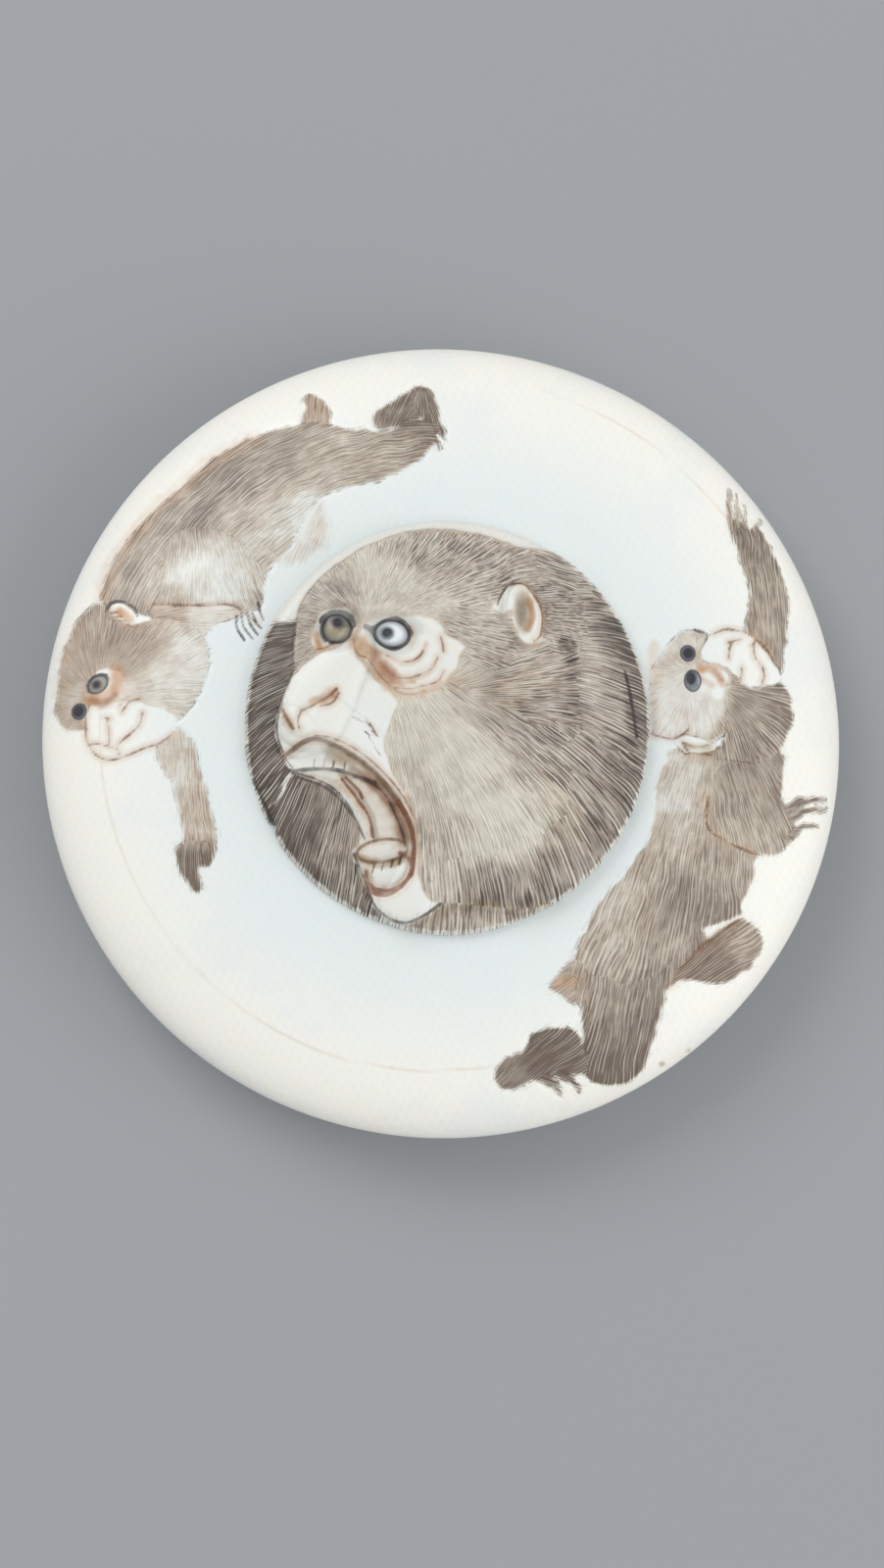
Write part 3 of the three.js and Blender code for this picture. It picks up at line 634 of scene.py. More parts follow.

# Soft stains along lines, in the same hundredths, and one band of painted shade along the jaw
HEAD_SMEARS = (
    Smear(((-44.5, 36.5), (-40, 33), (-35, 27.5), (-30, 21), (-26, 17)), 0.8, 0.8),
    Smear(((-45.4, 39), (-43, 34.5), (-38, 32)), 0.5, 0.5, Stain.KHAKI),
    Smear(((-36, 30), (-32, 25.5), (-27, 20.5)), 0.62, 0.5, Stain.RED),
    Smear(((-33.9, 27.6), (-30, 24), (-26, 20.6)), 0.24, 0.75, Stain.RED),
    Smear(((-28, 16.5), (-22, 14), (-16, 13.8), (-9, 15.6), (-4.6, 19)), 0.42, 0.62),
    Smear(((-30.4, 31.6), (-26.4, 29.2), (-22.5, 27.8), (-17.6, 28.2), (-13.6, 31.4), (-11.2, 37.4)),
          0.26, 0.55),
    Smear(((-26, 21.5), (-19, 20.2), (-13.5, 21.8), (-9.1, 24), (-5.8, 30)), 0.26, 0.6),
    Smear(((-20.4, 19), (-17.4, 19)), 0.25, 0.8),
    Smear(((-19.4, 46.5), (-17.4, 43), (-18.6, 38.6)), 0.3, 0.45),
    Smear(((-3.9, 41.4), (-3, 38), (-2.6, 34.4)), 0.3, 0.55),
    Smear(((-64.8, 42), (-64, 38), (-63.2, 35)), 0.36, 0.95),
    Smear(((-57, 37.6), (-51, 40.8), (-47.6, 44.6)), 0.26, 0.5, Stain.RED),
    Smear(((-40, -1), (-36, -7)), 0.3, 0.3),
    Smear(((-66, 7), (-60, 8.5), (-56, 12)), 0.5, 0.95),
    Smear(((-62, 8), (-57, 11)), 0.3, 0.5, Stain.RED),
    Smear(((-80, 1), (-77, -4)), 0.35, 0.8),
    Smear(((36.2, 61.5), (36.4, 54), (36.6, 46)), 0.62, 0.62, Stain.KHAKI),
    Smear(((-60, -29), (-50, -34), (-44, -42), (-40, -52), (-36, -60)), 1.3, 0.3, Stain.KHAKI),
    Smear(((-40, -32), (-33, -38), (-28, -48), (-25, -58)), 0.9, 0.3),
    Smear(((39.4, 60), (41, 54.8), (40.8, 49.8), (38.4, 45.4)), 0.26, 0.95),
    # Painted shade: a soft olive band along the jaw's lower edge
    Smear(((-10, -98), (6, -91), (22, -91), (36, -94), (48, -91)), 0.5, 0.5, Stain.KHAKI),
    Smear(((-56, -17), (-47, -22), (-38, -28), (-31, -36), (-25, -46), (-21, -58)), 0.7, 0.8, Stain.KHAKI),
    Smear(((-47, -25), (-38, -30), (-30, -38), (-25, -47), (-21, -59)), 0.4, 0.75, Stain.RED),
    Smear(((-40, -30), (-33, -36), (-27, -46)), 0.3, 0.5),
    Smear(((-70, -28), (-58, -30), (-48, -36)), 0.5, 0.6, Stain.KHAKI),
    Smear(((-50, -33), (-44, -40), (-39, -50)), 0.4, 0.5, Stain.KHAKI),
    Smear(((-44, -67), (-36, -70), (-27, -70), (-20, -66)), 0.4, 0.85, Stain.KHAKI),
    Smear(((-20, -64), (-18, -74), (-24, -82), (-33, -84)), 0.4, 0.6),
    Smear(((-40, -73), (-37, -82)), 0.3, 0.5, Stain.KHAKI),
    Smear(((56, -44), (60, -54), (58, -62)), 1.5, 0.3, Stain.KHAKI),
    Smear(((50, -30), (54, -40)), 1.1, 0.15),
    Smear(((0, 20), (10, 20)), 0.8, 0.25),
    Smear(((24, 12), (46, 22)), 1.4, 0.2),
)
CRESCENT_TAN = 0.04
FOOT_TAN = 0.45

# The monkeys on the field, in hundredths of the disc's radius, from back to front

FALLING_MONKEY = (
    Patch("far thigh", ((-44, 40), (-39, 44), (-32, 56), (-29.7, 53), (-28.4, 48), (-31, 43),
                        (-36, 39.6)), (-22, 75), dark=0.1, tan=0.2, edge=0, feather=0.6),
    Patch("tail", ((-37, 73), (-35.4, 80), (-35.4, 84.3), (-33.5, 85), (-31, 83.4), (-29, 80.5),
                   (-29.5, 75)), (-34, 40), dark=0.5, tan=0.3),
    Patch("foot", ((-15.5, 78, 3.2), (-11, 79.5, 4.2), (-6.5, 83.5, 3.8)), (-20, 60), dark=0.85,
          pitch=0.28),
    Patch("toes", ((-6, 84, 3.0), (-3.6, 79, 2.4), (-3, 75, 1.6)), (-6, 90), dark=0.85, pitch=0.26),
    Patch("claws", ((-3.6, 78, 1.2), (-0.8, 74, 0.9), (-0.2, 72.5, 0.4)), (-6, 90), dark=0.8),
    Patch("inner claw", ((-4.2, 76, 1.2), (-2.8, 72, 0.8), (-1.4, 69.6, 0.4)), (-6, 90), dark=0.8),
    Patch("body", ((-85, 31), (-84, 38), (-80.4, 45.5), (-74.3, 53), (-66.3, 60.6), (-57.7, 68.3),
                   (-48.4, 73.4), (-39, 76.2), (-29.8, 76.3), (-22, 75), (-14, 74.5), (-8, 78),
                   (-3, 76), (-3, 71), (-9, 65), (-17, 61), (-26, 59), (-32, 56), (-39, 44),
                   (-44.9, 36), (-46.5, 28), (-54, 29.6), (-62, 29), (-74, 26)),
          (0, -5), flow=Flow.RINGS, dark=0.5, pitch=0.4),
    Patch("shoulder", ((-67.3, 48.5), (-60, 49.5), (-54.3, 48), (-50, 44), (-45, 37.7), (-45, 32.7),
                       (-46.7, 28.2), (-54, 29.6), (-62, 29.5), (-70.7, 30), (-70.7, 36),
                       (-69.7, 43.4)), (-62, 75), dark=0.32, pitch=0.32, edge=0.15),
    Patch("throat", ((-72, 29.5), (-62, 29.3), (-54, 29.6), (-50, 26.5), (-56, 25), (-62, 20),
                     (-70, 20)), (-85, 26), dark=0.12, tan=0.25, edge=0.2),
    Patch("hanging arm", ((-70.7, -6.9), (-66, -1), (-62, -4), (-60, -11), (-57.5, -20),
                          (-55.6, -28), (-57, -33), (-60, -35), (-65, -34), (-64, -27),
                          (-66.5, -16)), (-66, 40), dark=0.35, tan=0.15),
    Patch("hand", ((-62.5, -32, 3.4), (-62.8, -35, 2.6), (-60.6, -39.6, 1.6)), (-62, -10),
          dark=0.85, pitch=0.26),
    Patch("thumb", ((-58.4, -30, 1.2), (-58.3, -34, 0.9)), (-62, -10), dark=0.8),
    Patch("head", ((-85, 31), (-88.2, 30.3), (-92.6, 25), (-95.3, 17.6), (-96.1, 9.3), (-96.2, 3.7),
                   (-93.9, -0.4), (-88.7, -0.8), (-80, 0), (-72, -1), (-65.3, 1), (-61.5, 5),
                   (-59, 11), (-58.2, 17.7), (-60.7, 22.7), (-65.6, 26), (-74.3, 27), (-80, 30)),
          (-86, 7), dark=0.42, tan=0.12, pitch=0.26, reach=20),
    Patch("muzzle", ((-88.2, 4.8), (-88.4, -1.4), (-87.4, -5.2), (-84.2, -8.1), (-81, -8.5),
                     (-77.4, -7.4), (-70, -4.8), (-66.5, -2), (-66, 1.5), (-71, 4.6), (-78, 6),
                     (-84, 5.4)), coat=Coat.SKIN, edge=0),
    Patch("eye skin", ((-84.6, 12.6, 1.8), (-81.6, 12, 2.2), (-80.4, 9.4, 2.4), (-84, 6.2, 2.0)),
          coat=Coat.SKIN, edge=0, feather=0.3),
    Patch("ear tuft", ((-76, 26.5, 1.9), (-73, 26.5, 1.0)), coat=Coat.SKIN, edge=0, feather=0.3),
    Patch("ear", ((-83.4, 28.5), (-82.1, 30.7), (-79.7, 30.7), (-77.5, 29.2), (-76.6, 26.8), (-77.1, 24.6),
                  (-78.7, 25.2), (-80.9, 26.5)), coat=Coat.SKIN, edge=0),
)
CLIMBING_MONKEY = (
    Patch("raised arm", ((70.9, 51.7), (73.4, 43.6), (75.5, 35.7), (75.3, 30.7), (74.5, 22),
                         (83, 14), (84.4, 20.3), (86.1, 29), (85.8, 36.7), (83.7, 44.2),
                         (80.3, 51.6), (77, 52), (73.5, 54)), (84, -60), dark=0.6, pitch=0.38),
    *(Patch(f"raised finger {number}", finger, (76, 20), dark=0.5, tan=0.2, pitch=0.24)
      for number, finger in enumerate((
          ((71.8, 51.5, 0.9), (71.5, 57, 0.7), (72, 62.4, 0.4)),
          ((73.6, 53, 0.8), (73.6, 57, 0.6), (74, 61.4, 0.35)),
          ((75.4, 52.5, 0.8), (75.4, 55.5, 0.6), (76, 58.6, 0.35)),
          ((78, 51, 0.9), (78.8, 53, 0.7), (80, 55, 0.4)),
      ), start=1)),
    Patch("tail", ((32, -55), (30, -57.4), (26.5, -60.8), (24.2, -64.3), (27.1, -65.4),
                   (31.2, -68.2), (34.5, -63)), (60, -45), dark=0.4, tan=0.1, edge=0.3),
    Patch("leg", ((34, -50), (31.2, -62), (32.1, -68.2), (33.1, -74.4), (33.2, -79), (34, -85),
                  (41.4, -87.6), (48.4, -84), (51.5, -74.2), (53.1, -68), (54.8, -63.4), (64, -56),
                  (60, -48)), (60, 26), dark=0.6, pitch=0.42, edge=0.3),
    Patch("body", ((56, -5), (53, -9), (51.3, -14), (50.4, -21), (48.7, -28), (42.8, -36.6),
                   (36.4, -44), (32.9, -52), (31.5, -58), (40, -62), (52, -60), (62, -50),
                   (72, -46.4), (73.2, -43), (75.6, -37.6), (76.5, -32), (80, -25), (83, -20.3),
                   (82.7, -17.4), (83.7, -10.3), (82.5, -5), (70, -4)), (70, 30), dark=0.4,
          pitch=0.38, edge=0),
    Patch("knee", ((54.7, -62.8), (57.7, -61.6), (66.9, -62.8), (73.1, -60), (78.6, -54),
                   (78.4, -50.7), (75, -47.4), (72, -47), (65, -51), (59, -57)), (30, -80),
          dark=0.55, tan=0.15, pitch=0.4),
    Patch("foot", ((33.1, -76.7), (30.7, -73.9), (24.9, -73.4), (20.3, -75), (18.6, -79),
                   (14.6, -80.8), (11.8, -83.6), (12.1, -87), (15.3, -88.4), (20, -87),
                   (24.6, -85.8), (30, -85), (34.5, -84)), (-20, -115), dark=0.82, pitch=0.3),
    Patch("toe", ((24, -85.6, 1.2), (26.5, -87.4, 0.9), (28.6, -89.6, 0.4)), (10, -80), dark=0.8),
    Patch("second toe", ((28, -85, 1.1), (30.8, -86, 0.9), (33, -88.4, 0.4)), (10, -80), dark=0.8),
    Patch("arm", ((70, -8), (65, -15), (64, -24.6), (68.9, -28), (75.6, -30.7), (81.8, -30.7),
                  (85.6, -27.3), (86.8, -24.4), (85, -20), (82.3, -15), (81, -8)), (60, 25),
          dark=0.45, pitch=0.34, edge=0.4),
    *(Patch(f"finger {number}", finger, (60, -30), dark=0.75, pitch=0.22)
      for number, finger in enumerate((
          ((84.6, -19.8, 1.2), (87.6, -17.4, 1.1), (95.2, -15.9, 0.6)),
          ((85.6, -21.8, 1.1), (88.4, -19.6, 1.0), (95.4, -18.6, 0.6)),
          ((86, -25.2, 1.1), (88.6, -23.4, 1.0), (93, -23.1, 0.6)),
      ), start=1)),
    Patch("skull", ((64.8, 23.5), (61.2, 24.5), (56.9, 23.2), (52.7, 18.3), (50.2, 12.3),
                    (49.9, 6.9), (50.7, -1.9), (53, -2.7), (57, -3), (63, -4), (69.1, -0.9),
                    (70, 6), (73, 11.8), (72, 18)), (61, 14), dark=0.12, tan=0.1, pitch=0.24,
          length=1.4, reach=13, edge=0.35, feather=0.3),
    Patch("ruff", ((69.3, 11), (73, 11.2), (76.6, 10.2), (83.5, 12), (86.5, 5.9), (85.8, 1),
                   (82.5, -5), (78.8, -7.6), (72.7, -8.4), (66.7, -6.5), (68.8, -1), (68.6, 6.2)),
          (66.5, 11), dark=0.52, pitch=0.32),
    Patch("muzzle", ((64.8, 23.5), (69, 24.9), (73.3, 24.5), (76.9, 22.8), (81.2, 18.2), (83.5, 13),
                     (82.2, 11.7), (76.6, 10.7), (73, 11.8), (69, 15.4), (64, 16.2), (62.6, 19)),
          coat=Coat.SKIN, edge=0.6),
    Patch("eye skin", ((63, 12, 2.6), (67, 12.5, 2.6), (67, 9, 2.0)), coat=Coat.SKIN, edge=0, feather=0.3),
    Patch("ear", ((56, -3), (59.5, -2.2), (65.5, -3.6), (66, -5.8), (59.5, -6.7), (57, -5)),
          coat=Coat.SKIN, edge=0.9),
)
FIELD_PATCHES = FALLING_MONKEY + CLIMBING_MONKEY
FIELD_EYES = (
    Eye(Oval(-85.5, 10.3, 2.7, 2.1, 35), Oval(-85.9, 10.3, 0.9, 0.9), 0.0, 0.1),
    Eye(Oval(-90.1, 3.8, 1.9, 2.0), Oval(-90.2, 3.9, 1.5, 1.6), 0.0, 0.6),
    Eye(Oval(59.5, 18.5, 1.9, 2.0), Oval(59.6, 18.5, 1.5, 1.5), 0.0, 1.0),
    Eye(Oval(60.6, 11.6, 2.1, 2.7), Oval(60.2, 12.2, 1.3, 1.7), 0.0, 1.0),
)
FIELD_STROKES = (
    Stroke(((-87.6, 5.2), (-88.4, 1.6), (-88.4, -1.4), (-87.4, -5.2), (-84.2, -8.1), (-81, -8.5),
            (-77.4, -7.4), (-73.5, -5.8), (-70, -4.8), (-67, -2.6)), 0.039, Ink.BROWN),
    Stroke(((-87.4, -5.2), (-86.5, -4.3), (-83, -5.1), (-80.5, -6.1)), 0.036, Ink.BROWN),
    Stroke(((-79.9, -7.3), (-80.2, -4.9), (-77.5, -2.5), (-75, 0), (-74.3, 2.9)), 0.042, Ink.BROWN),
    Stroke(((-83.1, 1.8), (-82.7, -1), (-82.4, -4.2)), 0.026, Ink.BROWN),
    Stroke(((-83.5, 1.9), (-82.4, 1.6)), 0.039, Ink.BROWN),
    Stroke(((-79.4, 3.2), (-77.6, 5.6), (-75, 6.4)), 0.033, Ink.BROWN),
    Stroke(((-80, 4.6), (-78.4, 6.8), (-76.4, 7.4)), 0.023, Ink.BROWN),
    Stroke(((-72.5, 30), (-65.7, 29.7), (-59.5, 29.3), (-54, 29.6), (-51, 28.3), (-46.6, 25)), 0.046,
           Ink.BROWN),
    Stroke(((-84, 28.8), (-82.6, 30.9), (-79.7, 31), (-77, 29.4), (-76, 27)), 0.075, Ink.DARK),
    Stroke(((-83, 28.6), (-80.6, 26.4), (-78.4, 25), (-76.8, 24.4)), 0.026, Ink.BROWN),
    Stroke(((-82, 29), (-79.8, 27.2), (-78, 25.4)), 0.026, Ink.BROWN),
    *(Stroke(line, 0.07, Ink.DARK) for line in (
        ((-51.6, 26.6), (-51.4, 23.6), (-49.6, 20.6)),
        ((-50.4, 27.4), (-49.8, 24), (-47.6, 20.9)),
        ((-49, 27.6), (-48.2, 24.6), (-46.4, 22)),
        ((-47.8, 27.6), (-46.9, 25.2), (-45.6, 23.6)),
        ((-46.4, 30), (-45.8, 27.4), (-45, 25.6)))),
    Stroke(arc(Oval(-85.5, 10.3, 2.9, 2.2, 35), -10, 200, 10), 0.07, Ink.DARK),
    Stroke(((-83.4, 12.6), (-82.6, 10.8)), 0.05, Ink.DARK),
    Stroke(((69.8, 21.6), (71, 22), (70.2, 20.4), (69.8, 17.6)), 0.033, Ink.BROWN),
    Stroke(((71, 22), (73, 22.6)), 0.033, Ink.BROWN),
    Stroke(((76.4, 21.8), (76.6, 18.4), (78.2, 16.2), (79, 13.8), (78.4, 11.9)), 0.042, Ink.BROWN),
    Stroke(((75.8, 21), (77.2, 22.4), (79, 21.4), (81, 18.4)), 0.039, Ink.BROWN),
    Stroke(((73.2, 15.4), (73, 11.8)), 0.029, Ink.BROWN),
    Stroke(((66, 23.6), (69, 24.9), (72.6, 24.7), (76, 23.6)), 0.046, Ink.BROWN),
    Stroke(((61.4, 24.4), (64.4, 23.4), (63.6, 21)), 0.06, Ink.DARK),
    Stroke(((50.1, -1.9), (53, -2.7), (56, -3), (59.4, -0.6)), 0.046, Ink.BROWN),
    Stroke(((57.6, -3.6), (60, -6.4), (65, -6.8)), 0.039, Ink.BROWN),
    Stroke(((58.6, -4), (61, -4.9), (65.4, -4)), 0.026, Ink.BROWN),
    Stroke(((64, -17), (64, -24.6), (68.9, -28), (75.6, -30.7)), 0.06, Ink.BROWN),
    Stroke(((54.8, -63), (60, -56), (66, -51), (72, -47)), 0.06, Ink.BROWN),
    Stroke(((26.5, -85.2), (28.4, -88)), 0.04, Ink.DARK),
)
FIELD_SMEARS = (
    Smear(((-88, 6.8), (-85, 6.4), (-82, 7.8), (-80.2, 10.6), (-80.8, 13.6)), 0.7, 0.85),
    Smear(((-87.4, 6.6), (-84, 5.6), (-81, 7.4)), 0.28, 0.6, Stain.RED),
    Smear(((-82.6, 8.4), (-81.4, 12)), 0.4, 0.6),
    Smear(((-80.6, 28.4), (-78.2, 26.4)), 0.45, 1.0),
    Smear(((62.6, 14.6), (66, 14.6), (68.2, 11.4)), 0.4, 0.95),
    Smear(((63, 12), (65.4, 10.6)), 0.35, 0.6),
    Smear(((66, 14.4), (68, 12)), 0.2, 0.5, Stain.RED),
    Smear(((58.6, -4.8), (64.6, -5)), 0.25, 0.6, Stain.KHAKI),
    Smear(((53.4, -81.8), (53.7, -82)), 0.2, 0.7, Stain.KHAKI),
    Smear(((60.2, -78.4), (60.4, -78.6)), 0.2, 0.6),
    Smear(((-84.6, 33), (-83.6, 38), (-80, 45), (-74, 52.6), (-66, 60.2), (-57.6, 67.4), (-48, 72.6)),
          0.8, 0.4),
    Smear(((-91, 25), (-94.6, 14), (-95, 5)), 0.7, 0.3),
    Smear(((51, 20), (50.6, 8), (51.4, 0)), 0.5, 0.35),
    Smear(((31, -62), (27, -63)), 0.5, 0.5),
)
FIELD_TONES: Points = (
    (-80, 39, 6, 0.5), (-82, 33, 4, 0.45), (-74, 48, 6, 0.55), (-66, 55, 5, 0.6), (-61, 53, 5, 0.75),
    (-53, 63, 6, 0.78), (-45, 69, 6, 0.6), (-39, 73, 5, 0.55), (-45, 60, 6, 0.5), (-32, 66, 6, 0.4),
    (-26, 66, 6, 0.4), (-16, 70, 6, 0.45), (-51, 51, 6, 0.35), (-42, 52, 6, 0.18), (-35, 54, 5, 0.15),
    (-48, 45, 5, 0.18), (-63, 39, 5, 0.08), (-66, 44, 4, 0.45), (-57, 45, 4, 0.2), (-54, 36, 6, 0.14),
    (-71, 33, 5, 0.35), (-48, 32, 4, 0.34), (-88, 27, 5, 0.58), (-86, 22, 4, 0.58), (-78, 24, 5, 0.62),
    (-74, 20, 5, 0.5), (-69, 24, 4, 0.34), (-66, 16, 5, 0.18), (-62, 11, 5, 0.08), (-69, 10, 5, 0.14),
    (-93, 15, 5, 0.36), (-94, 5, 5, 0.3), (-34, 47, 6, 0.1), (-57, 26, 4, 0.1), (-66, -8, 7, 0.22),
    (-61, -22, 7, 0.34), (-62, -37, 5, 0.85), (-33, 80, 6, 0.5), (-12, 80, 6, 0.8), (-4, 76, 5, 0.8),
    (55, 6, 6, 0.12), (63, 4, 5, 0.08), (59, 21, 5, 0.3), (56, 14, 4, 0.24), (78, 4, 5, 0.62),
    (71, -1, 5, 0.66), (84, 4, 4, 0.72), (78, 45, 6, 0.72), (80, 34, 6, 0.5), (78, 24, 6, 0.5),
    (84, 29, 4, 0.62), (73, 49, 4, 0.6), (56, -16, 6, 0.26), (63, -12, 5, 0.3), (59, -26, 6, 0.34),
    (54, -26, 4, 0.42), (49, -36, 5, 0.4), (42, -41, 6, 0.3), (55, -42, 6, 0.78), (63, -32, 5, 0.55),
    (71, -36, 5, 0.6), (40, -51, 6, 0.38), (52, -51, 6, 0.58), (67, -44, 5, 0.77), (69, -16, 5, 0.66),
    (75, -26, 5, 0.44), (82, -23, 4, 0.56), (67, -9, 4, 0.6), (80, -14, 4, 0.6), (40, -66, 6, 0.58),
    (47, -66, 6, 0.7), (42, -77, 6, 0.85), (40, -85, 5, 1.15), (50, -72, 5, 0.85), (67, -59, 5, 0.98),
    (73, -54, 4, 0.58), (63, -60, 4, 1.03), (26, -79, 6, 1.15), (16, -85, 6, 0.76), (28, -62, 5, 0.46),
    (90, -18, 6, 0.8), (74, 58, 5, 0.5),
)
GROWTH_LINES = (
    Stroke(arc(Oval(-3, 0, 82, 84), 172, 283, 24), 0.035, Ink.BROWN, 0.0),
    Stroke(arc(Oval(0, -2, 89, 92), 28, 74, 12), 0.03, Ink.BROWN, 0.0),
)


CARVED = ("tone", "stain", "lines", "eyes")


@dataclass
class Carving:
    """What the engraver has put on the places of one surface."""

    tone: Array
    stain: Array
    lines: Array
    eyes: Array

    @classmethod
    def blank(cls, count: int) -> "Carving":
        """Start with bare ivory at the given number of places."""
        return cls(np.zeros((count, 3)), np.zeros((count, 3)), np.full((count, 3), NO_LINE),
                   np.full((count, 3), FAR_FROM_EYE))

    def lay(self, gap: Array, patch: Patch) -> None:
        """Lay a patch over what is there.

        Args:
            gap: Signed gap from each place to the patch.
            patch: The patch.
        """
        if patch.edge > 0:
            outside = np.clip(gap, 0.0, None)
            near = 1.0 - smooth(outside, 0.0, EDGE_SHADE_REACH)
            self.tone[:, 2] += EDGE_SHADE * patch.edge * self.tone[:, 0] * near
        cover = 1.0 - smooth(gap, -patch.feather, FEATHER_OUT + FEATHER_SHARE * patch.feather)
        ragged = 1.0 - smooth(gap, *HATCH_FADE)
        furry = 1.0 if patch.coat is Coat.FUR else 0.0
        rounded = ROUND_SHADE * (1.0 - smooth(-gap, 0.0, ROUND_SHADE_REACH)) * (patch.edge > 0)
        self.tone[:, 0] += (furry - self.tone[:, 0]) * cover
        self.tone[:, 1] += (furry - self.tone[:, 1]) * ragged
        self.tone[:, 2] += ((patch.dark + rounded) * furry - self.tone[:, 2]) * cover
        self.stain[:, 0] += (patch.tan - self.stain[:, 0]) * cover
        self.lines[gap < -LINE_CLEARANCE] = NO_LINE
        if patch.edge > 0:
            thin = np.abs(gap) - EDGE_LINE * patch.edge
            self.lines[:, 1] = np.minimum(self.lines[:, 1], thin)

    def shade(self, x: Array, y: Array, unit: float, spots: Points, where: Array) -> None:
        """Set the darkness of the fur from spots of tone, each as strong as it is near.

        Args:
            x: Places along X.
            y: Places along Y.
            unit: Length of one hundredth.
            spots: Rows of x, y, reach and darkness.
            where: How far each place takes the spots' tone.
        """
        total = np.full(x.shape, BLANK_WEIGHT)
        dark = np.full(x.shape, BLANK_DARK)
        for sx, sy, reach, tone in spots:
            away = np.hypot(x / unit - sx, y / unit - sy) / reach
            weight = np.exp(-away * away * SPOT_FALL) + SPOT_TAIL / (1.0 + away**4)
            total += weight
            dark += weight * tone
        self.tone[:, 2] += (dark / total - self.tone[:, 2]) * where

    def smear(self, x: Array, y: Array, unit: float, smears: tuple[Smear, ...]) -> None:
        """Add soft stains, or bands of painted shade, along lines.

        Args:
            x: Places along X.
            y: Places along Y.
            unit: Length of one hundredth.
            smears: The stains.
        """
        ragged = SMEAR_EVEN + SMEAR_RAGGED * noise(x, y, SMEAR_CELL, SMEAR_SEED)
        for smear in smears:
            gap, _ = near_line(x, y, spline(smear.line) * unit)
            amount = smear.strength * (1.0 - smooth(gap / smear.reach * ragged, *SMEAR_FADE))
            column = smear.stain.value
            self.stain[:, column] = np.maximum(self.stain[:, column], amount)

    def draw(self, x: Array, y: Array, unit: float, strokes: tuple[Stroke, ...]) -> Array:
        """Draw engraved lines.

        Args:
            x: Places along X.
            y: Places along Y.
            unit: Length of one hundredth.
            strokes: The lines.

        Returns:
            How far the lines cut in, below zero.
        """
        cut = np.zeros(x.shape)
        for stroke in strokes:
            gap, _ = near_line(x, y, spline(stroke.line) * unit)
            column = stroke.ink.value
            self.lines[:, column] = np.minimum(self.lines[:, column], gap - stroke.half_width)
            if stroke.ink is not Ink.DARK:
                halo = HALO * (1.0 - smooth(gap, stroke.half_width, stroke.half_width + HALO_REACH))
                self.stain[:, 0] = np.maximum(self.stain[:, 0], halo)
            cut = np.minimum(cut, groove(gap, stroke.depth, GROOVE_SHARE * stroke.half_width))
        return cut

    def look(self, x: Array, y: Array, unit: float, eyes: tuple[Eye, ...]) -> None:
        """Set the places of the eyes: share of the rim, share of the pupil, and how blue.

        Args:
            x: Places along X.
            y: Places along Y.
            unit: Length of one hundredth.
            eyes: The eyes.
        """
        for eye in eyes:
            rim = eye.rim.share(x, y, unit)
            closer = rim < self.eyes[:, 0]
            pupil = eye.pupil.share(x, y, unit)
            self.eyes[closer] = np.stack([rim, pupil, np.full(x.shape, eye.blue)], axis=1)[closer]


def face_height(x: Array, y: Array) -> Array:
    """Give the height of the smooth face without any carving."""
    share = np.clip(np.hypot(x, y) / RADIUS, 0.0, 1.0)
    return EDGE_HEIGHT + FACE_RISE * np.sqrt(np.clip(1.0 - share**FACE_ROUNDNESS, 0.0, None))


def stroke_relief(comb: Array) -> Array:
    """Find the middle of the coarsest strokes, where the engraver cut deepest.

    Args:
        comb: How the fur is combed at each place.

    Returns:
        0 between strokes and 1 in the middle of one.
    """
    off = np.abs(comb[:, 1] - np.floor(comb[:, 1]) - 0.5)
    return np.clip(1.0 - off / STROKE_SHARE, 0.0, 1.0) * (1.0 - smooth(np.abs(comb[:, 2]), *OCTAVE_FADE))


def make_object(name: str, vertices: Array, faces: list[tuple[int, ...]], bake_map: Array,
                material: bpy.types.Material) -> bpy.types.Object:
    """Make a mesh object from millimetres, with its map for baking.

    Args:
        name: Name of the piece.
        vertices: Corner places in millimetres.
        faces: Vertex numbers of each face.
        bake_map: One U and V for each corner of each face.
        material: The finish.

    Returns:
        The new object, linked to the scene.
    """
    mesh = bpy.data.meshes.new(name)
    mesh.from_pydata((vertices * METRES).tolist(), [], faces)
    mesh.uv_layers.new(name="OFBake").data.foreach_set("uv", bake_map.astype(np.float32).ravel())
    mesh.materials.append(material)
    mesh.shade_smooth()
    piece = bpy.data.objects.new(name, mesh)
    bpy.context.collection.objects.link(piece)
    return piece


def store(mesh: bpy.types.Mesh, name: str, domain: str, values: Array) -> None:
    """Keep a vector for each point or face corner of a mesh, for its material to read."""
    layer = mesh.attributes.new(name, "FLOAT_VECTOR", domain)
    layer.data.foreach_set("vector", values.astype(np.float32).ravel())


def comb_places(x: Array, y: Array, patches: tuple[Patch, ...], owner: Array, unit: float) -> Array:
    """Say how the fur is combed at some places, each by the patch that owns it.

    Args:
        x: Places along X.
        y: Places along Y.
        patches: The patches.
        owner: Number of the patch that owns each place.
        unit: Length of one hundredth.

    Returns:
        One row for each place.
    """
    comb = np.zeros((len(x), 3))
    for number, patch in enumerate(patches):
        mine = owner == number
        if patch.coat is Coat.FUR and mine.any():
            comb[mine] = patch.combed(x[mine], y[mine], unit)
    return comb


def comb_corners(mesh: bpy.types.Mesh, patches: tuple[Patch, ...], owner: Array, unit: float) -> None:
    """Keep how the fur is combed at each face corner, from the patch that owns the face.

    Args:
        mesh: The mesh.
        patches: The patches.
        owner: Number of the patch that owns each face.
        unit: Length of one hundredth.
    """
    corners = np.empty(len(mesh.loops), dtype=int)
    mesh.loops.foreach_get("vertex_index", corners)
    places = np.empty(len(mesh.vertices) * 3)
    mesh.vertices.foreach_get("co", places)
    places = places.reshape(-1, 3)[corners] / METRES
    sides = np.empty(len(mesh.polygons), dtype=int)
    mesh.polygons.foreach_get("loop_total", sides)
    comb = comb_places(places[:, 0], places[:, 1], patches, np.repeat(owner, sides), unit)
    store(mesh, "comb", "CORNER", comb)


CLOUD_ROUGHNESS = 0.6


